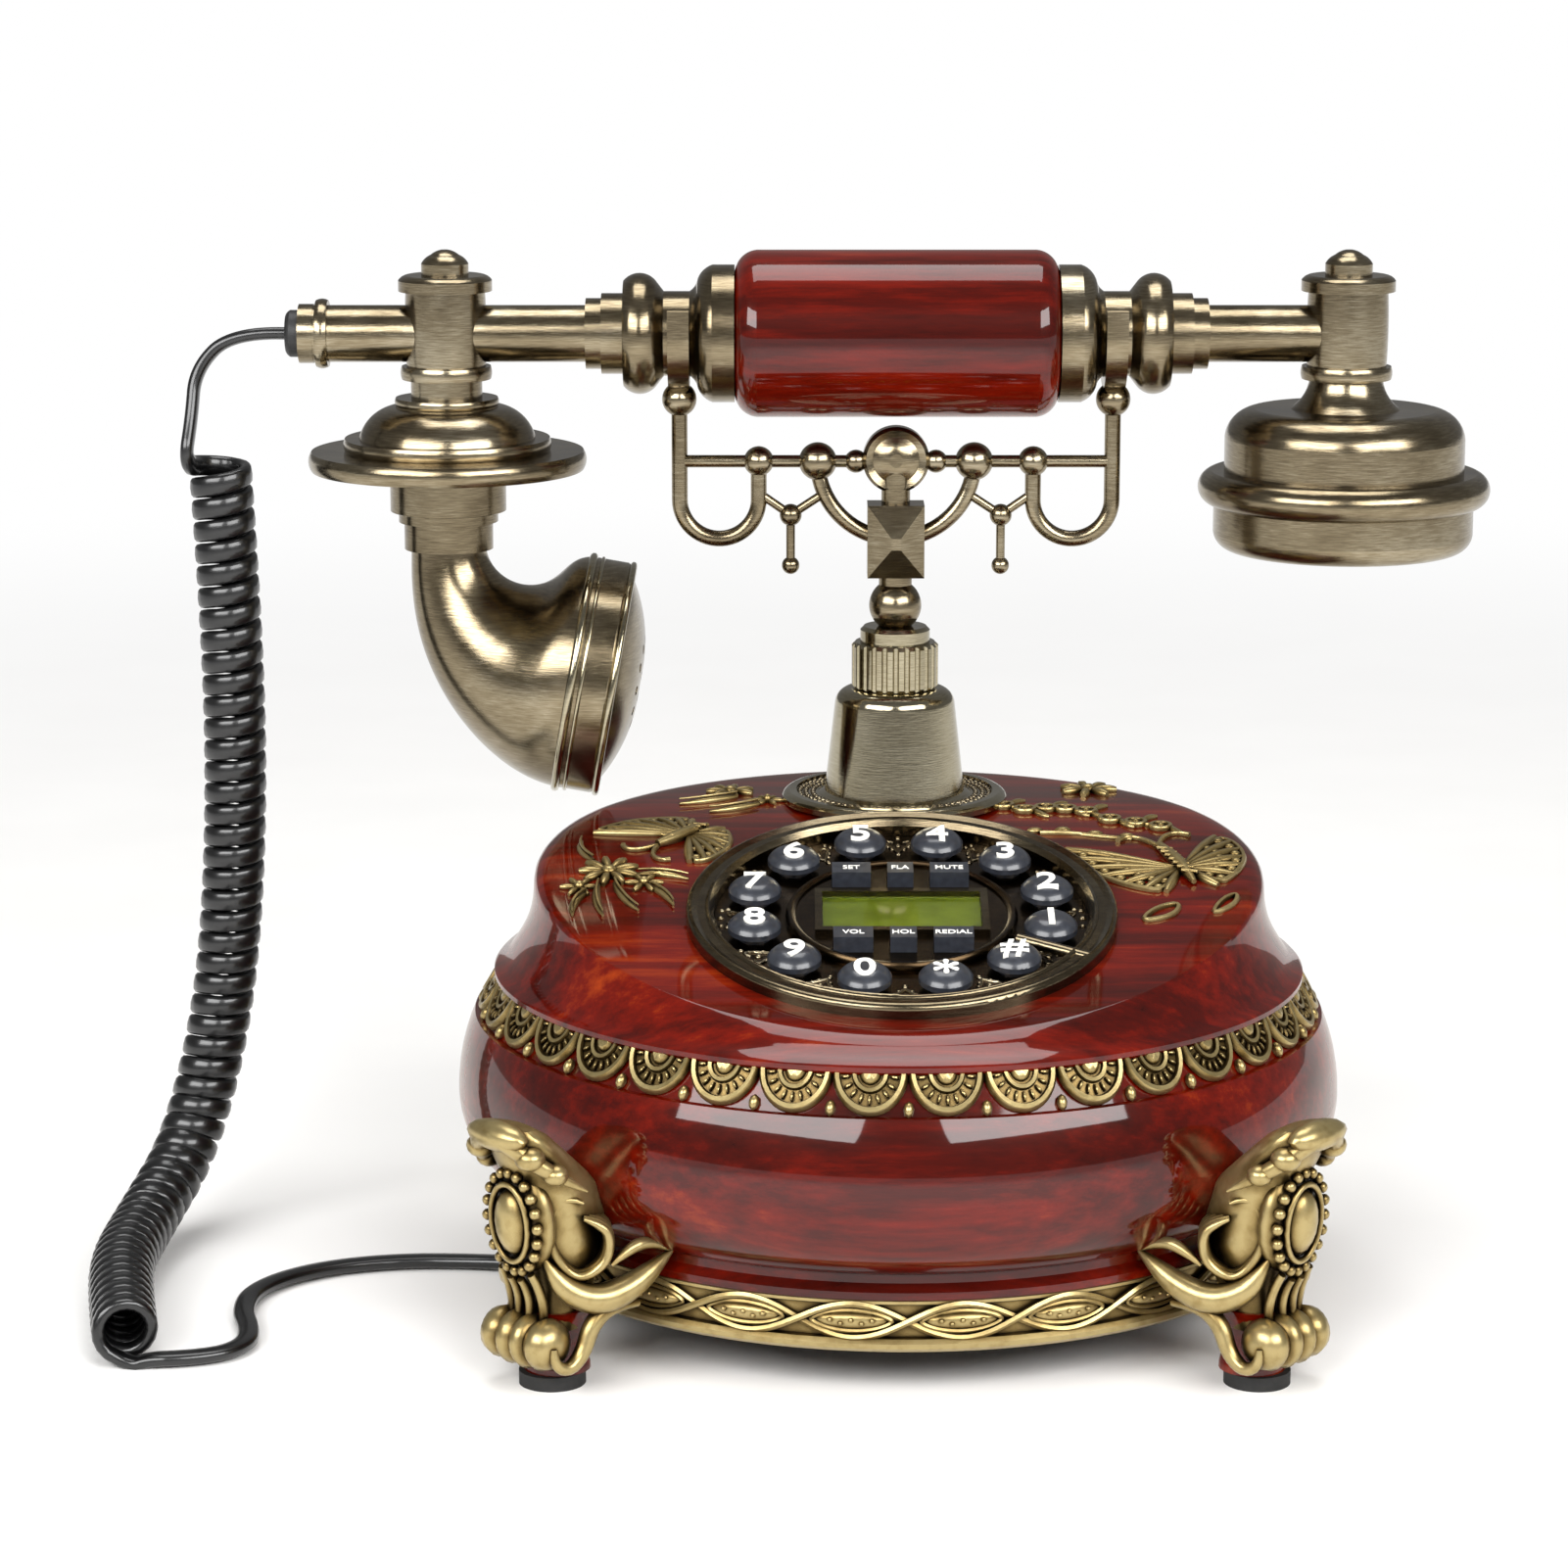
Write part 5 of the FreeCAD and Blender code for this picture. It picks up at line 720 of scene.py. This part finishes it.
def addLeg(bm):
    # oval sections bridged from the lip down to the roll
    loops = []
    for z, inside, outside, half in foot["leg"]:
        place = Matrix.Translation(((inside + outside) / 2, 0, z))
        matrix = place @ Matrix.Diagonal(((outside - inside) / 2, half, 1.0, 1.0))
        ends = len(loops) == 0 or z == foot["leg"][-1][0]
        made = bmesh.ops.create_circle(bm, cap_ends=ends, radius=1.0, segments=28, matrix=matrix)["verts"]
        loops.append([edge for edge in {edge for vert in made for edge in vert.link_edges}
                      if edge.verts[0] in made and edge.verts[1] in made])
    for a, b in zip(loops, loops[1:]):
        bmesh.ops.bridge_loops(bm, edges=a + b)


def addRoll(bm):
    before = set(bm.verts)
    half = foot["roll"]
    addTurned(bm, [(r, -y) for y, r in half[:0:-1]] + [(r, y) for y, r in half], 20)
    lay = Matrix.Translation(foot["rollPlace"]) @ Matrix.Rotation(math.radians(90), 4, "X")
    bmesh.ops.transform(bm, matrix=lay, verts=newVerts(bm, before))


def addCartouche(bm):
    # an oval dome with a rim in a ring of pearls, leaning with the leg
    before = set(bm.verts)
    wide, high = foot["oval"]
    for depth, bulge, shareWide, shareHigh in foot["domes"]:
        addBall(bm, (depth, 0, 0), (bulge, wide * shareWide, high * shareHigh), 20)
    for c, s in roundTurns(foot["pearls"]):
        addBall(bm, (foot["pearlDepth"], wide * c, high * s), (foot["pearl"],) * 3, 8)
    depth, thick, shareWide, shareHigh = foot["ovalRim"]
    rim = [(depth, wide * shareWide * c, high * shareHigh * s) for c, s in roundTurns(16)]
    addTube(bm, rim, thick, closed=True)
    tilt = Matrix.Translation(foot["cartouche"]) @ Matrix.Rotation(math.radians(foot["lean"]), 4, "Y")
    bmesh.ops.transform(bm, matrix=tilt, verts=newVerts(bm, before))


def flank(side, points):
    return [(x, side * y, z) for x, y, z in points]


def addFlank(bm, side):
    for place, size in foot["lobes"]:
        addBall(bm, flank(side, [place])[0], size, 16)
    inward = Vector(foot["shellInward"])
    for depth, thick in foot["shellWalls"]:  # rim of the shell and its wall, which runs into the leg
        wall = [Vector(point) + inward * depth for point in foot["shell"]]
        addTube(bm, flank(side, wall), [thick * share for share in foot["shellTaper"]], sides=3)
    for name in ("leaf", "vine", "stem"):
        addTube(bm, flank(side, foot[name]), foot[name + "Width"], sides=4)
    for line in foot["flutes"]:
        addTube(bm, flank(side, line), foot["fluteWidth"])


def makeFeet():
    bm = bmesh.new()
    addLeg(bm)
    addRoll(bm)
    lip = foot["lip"] + flank(-1, foot["lip"][-2::-1])
    addTube(bm, lip, foot["lipWidth"] + foot["lipWidth"][-2::-1], sides=3)
    addCartouche(bm)
    for side in (-1, 1):
        addFlank(bm, side)
    copyRound(bm, foot["count"], foot["firstAngle"])
    inMetres(bm)
    placePiece(smoothPiece(bm, "scrollFeet", gilt, 50), "base", "gilt", "feet")


def makeStands():
    # turned lacquer blocks behind the rolls, under the legs
    bm = bmesh.new()
    addTurned(bm, foot["stand"], 24)
    bmesh.ops.translate(bm, verts=bm.verts[:], vec=(foot["standPlace"], 0, 0))
    copyRound(bm, foot["count"], foot["firstAngle"])
    inMetres(bm)
    placePiece(smoothPiece(bm, "footStands", redLacquer), "base", "red_lacquer")


makeFeet()
makeStands()
print("feet done")


# reliefs on the lid: right a large butterfly under a garland, left a small one over a spray of flowers

relief = {
    "wingRoot": (61.5, -8.0),
    "innerTips": [(37, 2), (38.5, -3), (41, -8), (44, -12), (48.5, -15.5), (53, -18), (57.5, -19)],
    "outerTips": [(70.5, 9.5), (74, 7), (75.6, 3), (76, -1.5), (75.2, -6), (73, -11), (69, -16)],
    "ribShares": (0.06, 0.4, 0.75, 1.0), "ribWidth": [0.6, 1.1, 1.3, 0.7], "wingRim": 0.75,
    "cellShares": (0.62, 0.88), "cell": (1.3, 1.0, 0.9),
    "body": [(57.6, 3.4), (60.2, -3.5), (62.6, -10.5), (63.8, -15.5)], "bodyWidth": [0.9, 1.7, 1.5, 0.6],
    "bands": 7, "firstBand": [(56.9, -0.4), (58.6, -0.8), (60.3, -1.2)], "bandStep": (0.75, -1.9), "bandWidth": 0.5,
    "feelers": [[(57.6, 3.4), (55, 8), (50.5, 9.5), (48.8, 7)], [(57.6, 3.4), (58.2, 9), (62.5, 12.5), (65, 10.5)]],
    "feelerWidth": [0.7, 0.6, 0.5, 0.7],
    "garland": [(24.5, 31.7), (29.3, 28.4), (34, 29.6), (38.5, 29), (43.0, 27), (48.0, 21), (53.6, 18.6), (59, 16)],
    "garlandWidth": 0.8, "ring": (2.3, 2.0), "ringWidth": 0.75, "bud": (1.0, 1.0, 1.0),
    "leafRoot": (1.6, 1.4), "leafTips": [(3.0, 4.2), (5.2, 5.0)], "leafWidth": [0.5, 1.2, 0.4],
    "twig": [(31.8, 12.0), (38, 12.4), (45, 10.0), (52, 8.4)], "twigWidth": [0.8, 0.7, 0.6, 0.5],
    "twigBud": (1.9, 1.1, 0.9), "twigBudPlace": (-1, 1.6),
    "rightBlooms": [((44.8, 48.0), 6.6, 7)],  # place, reach, petals
    "loops": [[(50.6, -33.1), (54.4, -26.6), (60.3, -23.9), (58.6, -30.0)],
              [(66.2, -29.8), (69.2, -22.6), (73.0, -19.6), (72.0, -25.0)]],
    "loopWidth": 0.7,
    "leftRoot": (46.5, 11.0), "leftTurn": 205.0, "leftSize": 0.8,
    "leftBlooms": [((63.4, -9.5), 6.6, 9), ((55.6, -15.0), 4.2, 6), ((69.6, -17.0), 4.2, 6), ((37.5, 46.0), 5.6, 7),
                   ((29.0, 37.0), 3.6, 6)],
    "leftLeaves": [[(62, -15), (60.5, -22), (56.5, -27.5)], [(65.5, -15.5), (66.5, -23), (64.0, -30)],
                   [(68, -20), (71.5, -24), (70.5, -30)], [(57, -11), (51.5, -10), (46.0, -13)],
                   [(54, -17), (50.5, -20), (49.0, -25)], [(67, -4), (71, 1), (70.0, 7)],
                   [(36, 41), (42, 36), (49.0, 34)], [(31, 34), (36, 29), (42.0, 27.5)]],
    "leftLeafWidth": [0.5, 1.6, 0.3], "veinWidth": [0.25, 0.45, 0.2],
    "petalShares": (0.2, 0.66, 1.0), "petalWidth": (0.1, 0.26, 0.1), "heart": (0.29, 1.4),
}


def onLid(side, points, proud=0.4):
    # places on the lid, standing proud of it by so many millimetres
    return [(side * x, y, lidHeight(x, y) + proud) for x, y in points]


def addButterfly(bm, side, fit):
    rootX, rootY = relief["wingRoot"]
    for tips in (relief["innerTips"], relief["outerTips"]):
        for x, y in tips:  # ribs of the wing
            line = [(rootX + (x - rootX) * s, rootY + (y - rootY) * s) for s in relief["ribShares"]]
            addTube(bm, onLid(side, fit(line), proud=0.3), relief["ribWidth"], sides=1)
        rim = [relief["wingRoot"]] + tips + [relief["wingRoot"]]
        addTube(bm, onLid(side, fit(rim), proud=0.3), relief["wingRim"], sides=1)
        for a, b in zip(tips, tips[1:]):  # cells between the ribs
            for s in relief["cellShares"]:
                cell = (rootX + ((a[0] + b[0]) / 2 - rootX) * s, rootY + ((a[1] + b[1]) / 2 - rootY) * s)
                addBall(bm, onLid(side, fit([cell]), proud=0.3)[0], relief["cell"], 8)
    addTube(bm, onLid(side, fit(relief["body"]), proud=0.9), relief["bodyWidth"])
    stepX, stepY = relief["bandStep"]
    for i in range(relief["bands"]):
        band = [(x + stepX * i, y + stepY * i) for x, y in relief["firstBand"]]
        addTube(bm, onLid(side, fit(band), proud=1.7), relief["bandWidth"], sides=1)
    for feeler in relief["feelers"]:
        addTube(bm, onLid(side, fit(feeler)), relief["feelerWidth"], sides=1)


def addBloom(bm, side, place, reach, petals):
    x, y = place
    for c, s in roundTurns(petals):
        petal = [(x + r * reach * c, y + r * reach * s) for r in relief["petalShares"]]
        addTube(bm, onLid(side, petal), [share * reach for share in relief["petalWidth"]], sides=1)
    share, high = relief["heart"]
    addBall(bm, onLid(side, [place], proud=0.5)[0], (share * reach, share * reach, high), 10)


def addGarland(bm):
    # rings with buds and leaves along a stem
    wide, high = relief["ring"]
    rootX, rootY = relief["leafRoot"]
    for i, (x, y) in enumerate(relief["garland"]):
        ring = [(x + wide * c, y + high * s) for c, s in roundTurns(8)]
        addTube(bm, onLid(1, ring, proud=0.5), relief["ringWidth"], closed=True, sides=1)
        addBall(bm, onLid(1, [(x, y)], proud=0.5)[0], relief["bud"], 8)
        leaf = [(x + rootX, y + rootY)] + [(x + out, y + up * (-1) ** i) for out, up in relief["leafTips"]]
        addTube(bm, onLid(1, leaf, proud=0.3), relief["leafWidth"], sides=1)
    addTube(bm, onLid(1, relief["garland"], proud=0.2), relief["garlandWidth"], sides=1)


def toLeft(points):
    # the butterfly turned and made smaller for the left side
    rootX, rootY = relief["wingRoot"]
    atX, atY = relief["leftRoot"]
    turn, size = math.radians(relief["leftTurn"]), relief["leftSize"]
    return [(atX + size * ((x - rootX) * math.cos(turn) - (y - rootY) * math.sin(turn)),
             atY + size * ((x - rootX) * math.sin(turn) + (y - rootY) * math.cos(turn))) for x, y in points]


def makeReliefs():
    bm = bmesh.new()
    addButterfly(bm, 1, list)
    addGarland(bm)
    addTube(bm, onLid(1, relief["twig"], proud=0.2), relief["twigWidth"], sides=1)
    budX, budY = relief["twigBudPlace"]
    for x, y in relief["twig"]:
        addBall(bm, onLid(1, [(x + budX, y + budY)], proud=0.2)[0], relief["twigBud"], 8)
    for loop in relief["loops"]:
        addTube(bm, onLid(1, loop, proud=0.2), relief["loopWidth"], closed=True, sides=1)
    addButterfly(bm, -1, toLeft)
    for side, blooms in ((1, relief["rightBlooms"]), (-1, relief["leftBlooms"])):
        for place, reach, petals in blooms:
            addBloom(bm, side, place, reach, petals)
    for leaf in relief["leftLeaves"]:
        addTube(bm, onLid(-1, leaf, proud=0.3), relief["leftLeafWidth"], sides=1)
        addTube(bm, onLid(-1, leaf, proud=1.5), relief["veinWidth"], sides=1)
    inMetres(bm)
    placePiece(smoothPiece(bm, "giltReliefs", gilt, 60), "base", "gilt", "gilt_reliefs")


makeReliefs()
print("reliefs done")


# embossed sprigs on the dial plate between the keys: two curls and a spray of buds

sprigs = {
    "count": 12, "circle": 34.6, "plateTop": -0.5,
    "curl": [(-2.6, 0), (-0.6, 1.4), (1.6, 3.2), (3.0, 2.2), (2.0, 1.0)], "curlWidth": [0.4, 0.55, 0.5, 0.45, 0.3],
    "buds": [(0.2, 2.4), (4.0, 3.6), (2.6, 4.2), (-1.2, 1.4)], "bud": (0.75, 0.6, 0.5),
    "middleBuds": (-3.6, 0.6, 4.2), "middleBud": (0.9, 0.7, 0.6),
}


def makeSprigs():
    bm = bmesh.new()
    circle, top = sprigs["circle"], sprigs["plateTop"]
    for side in (-1, 1):
        curl = [(circle + out, side * along, top) for out, along in sprigs["curl"]]
        addTube(bm, curl, sprigs["curlWidth"], sides=1)
        for out, along in sprigs["buds"]:
            addBall(bm, (circle + out, side * along, top), sprigs["bud"], 6)
    for out in sprigs["middleBuds"]:
        addBall(bm, (circle + out, 0, top), sprigs["middleBud"], 6)
    copyRound(bm, sprigs["count"])
    bmesh.ops.transform(bm, matrix=dialFrame, verts=bm.verts[:])
    inMetres(bm)
    placePiece(smoothPiece(bm, "dialSprigs", antiqueBrass, 60), "base", "antique_brass")


makeSprigs()
print("sprigs done")


# granulated rings on the pillar's flange

granules = {
    "place": (0, 40.0, 101.6), "count": 64, "rows": (18.6, 20.2, 21.6), "rowTurn": 0.05, "size": (0.75, 0.85, 0.55),
}


def makeGranules():
    bm = bmesh.new()
    for i, r in enumerate(granules["rows"]):
        turn = granules["rowTurn"] * i
        addBall(bm, (r * math.cos(turn), r * math.sin(turn), 0), granules["size"], 6)
    copyRound(bm, granules["count"])
    bmesh.ops.translate(bm, verts=bm.verts[:], vec=granules["place"])
    inMetres(bm)
    placePiece(smoothPiece(bm, "flangeGranules", antiqueBrass, 60), "base", "antique_brass")


makeGranules()
print("granules done")


# white figures on the keys

figures = {
    "round": ["2", "3", "4", "5", "6", "7", "8", "9", "0", "*", "#", "1"], "firstAngle": 15.0, "circle": 32.6,
    "height": 9.6, "top": 4.8, "deep": 1.1, "bold": 0.021, "starBold": 0.014, "starSize": 1.3,
    "small": {"set": (-1, 1), "flash": (0, 1), "mute": (1, 1),  # column and row
              "volume": (-1, -1), "hold": (0, -1), "redial": (1, -1)},
    "column": 10.6, "row": 15.2, "smallHeight": 2.4, "smallTop": 4.38, "smallDeep": 0.1, "smallBold": 0.01,
}
keyNames = {"*": "star", "#": "hash"}


def figureMesh(word, height, deep, bold):
    # a raised figure: its top lies at height 0 and it goes down into the key
    data = bpy.data.curves.new("figure", "FONT")
    data.body = word
    data.size = height
    data.align_x = "CENTER"
    data.offset = height * bold
    data.extrude = deep / 2
    bm = bmesh.new()
    addCurve(bm, data)
    bmesh.ops.remove_doubles(bm, verts=bm.verts[:], dist=1e-4)
    across = [vert.co.x for vert in bm.verts]
    along = [vert.co.y for vert in bm.verts]
    middle = ((min(across) + max(across)) / 2, (min(along) + max(along)) / 2, deep / 2)
    bmesh.ops.translate(bm, verts=bm.verts[:], vec=[-c for c in middle])
    return bm


def placeFigure(bm, name, key, place):
    bmesh.ops.transform(bm, matrix=dialFrame @ Matrix.Translation(place), verts=bm.verts[:])
    inMetres(bm)
    placePiece(smoothPiece(bm, name, figureWhite), "key_" + key, "key_slate")


def makeFigures():
    for i, word in enumerate(figures["round"]):
        star = word == "*"
        bm = figureMesh(word, figures["height"] * (figures["starSize"] if star else 1.0), figures["deep"],
                        figures["starBold" if star else "bold"])
        turn = math.radians(figures["firstAngle"] + 360 / len(figures["round"]) * i)
        place = (figures["circle"] * math.cos(turn), figures["circle"] * math.sin(turn), figures["top"])
        name = keyNames.get(word, word)
        placeFigure(bm, "figure_" + name, name, place)
    for word, (column, row) in figures["small"].items():
        short = column == 0 or word == "volume"  # the narrow keys have room for three letters
        bm = figureMesh(word.upper()[:3] if short else word.upper(), figures["smallHeight"], figures["smallDeep"],
                        figures["smallBold"])
        place = (column * figures["column"], row * figures["row"], figures["smallTop"])
        placeFigure(bm, "word_" + word, word, place)


makeFigures()
print("figures done")
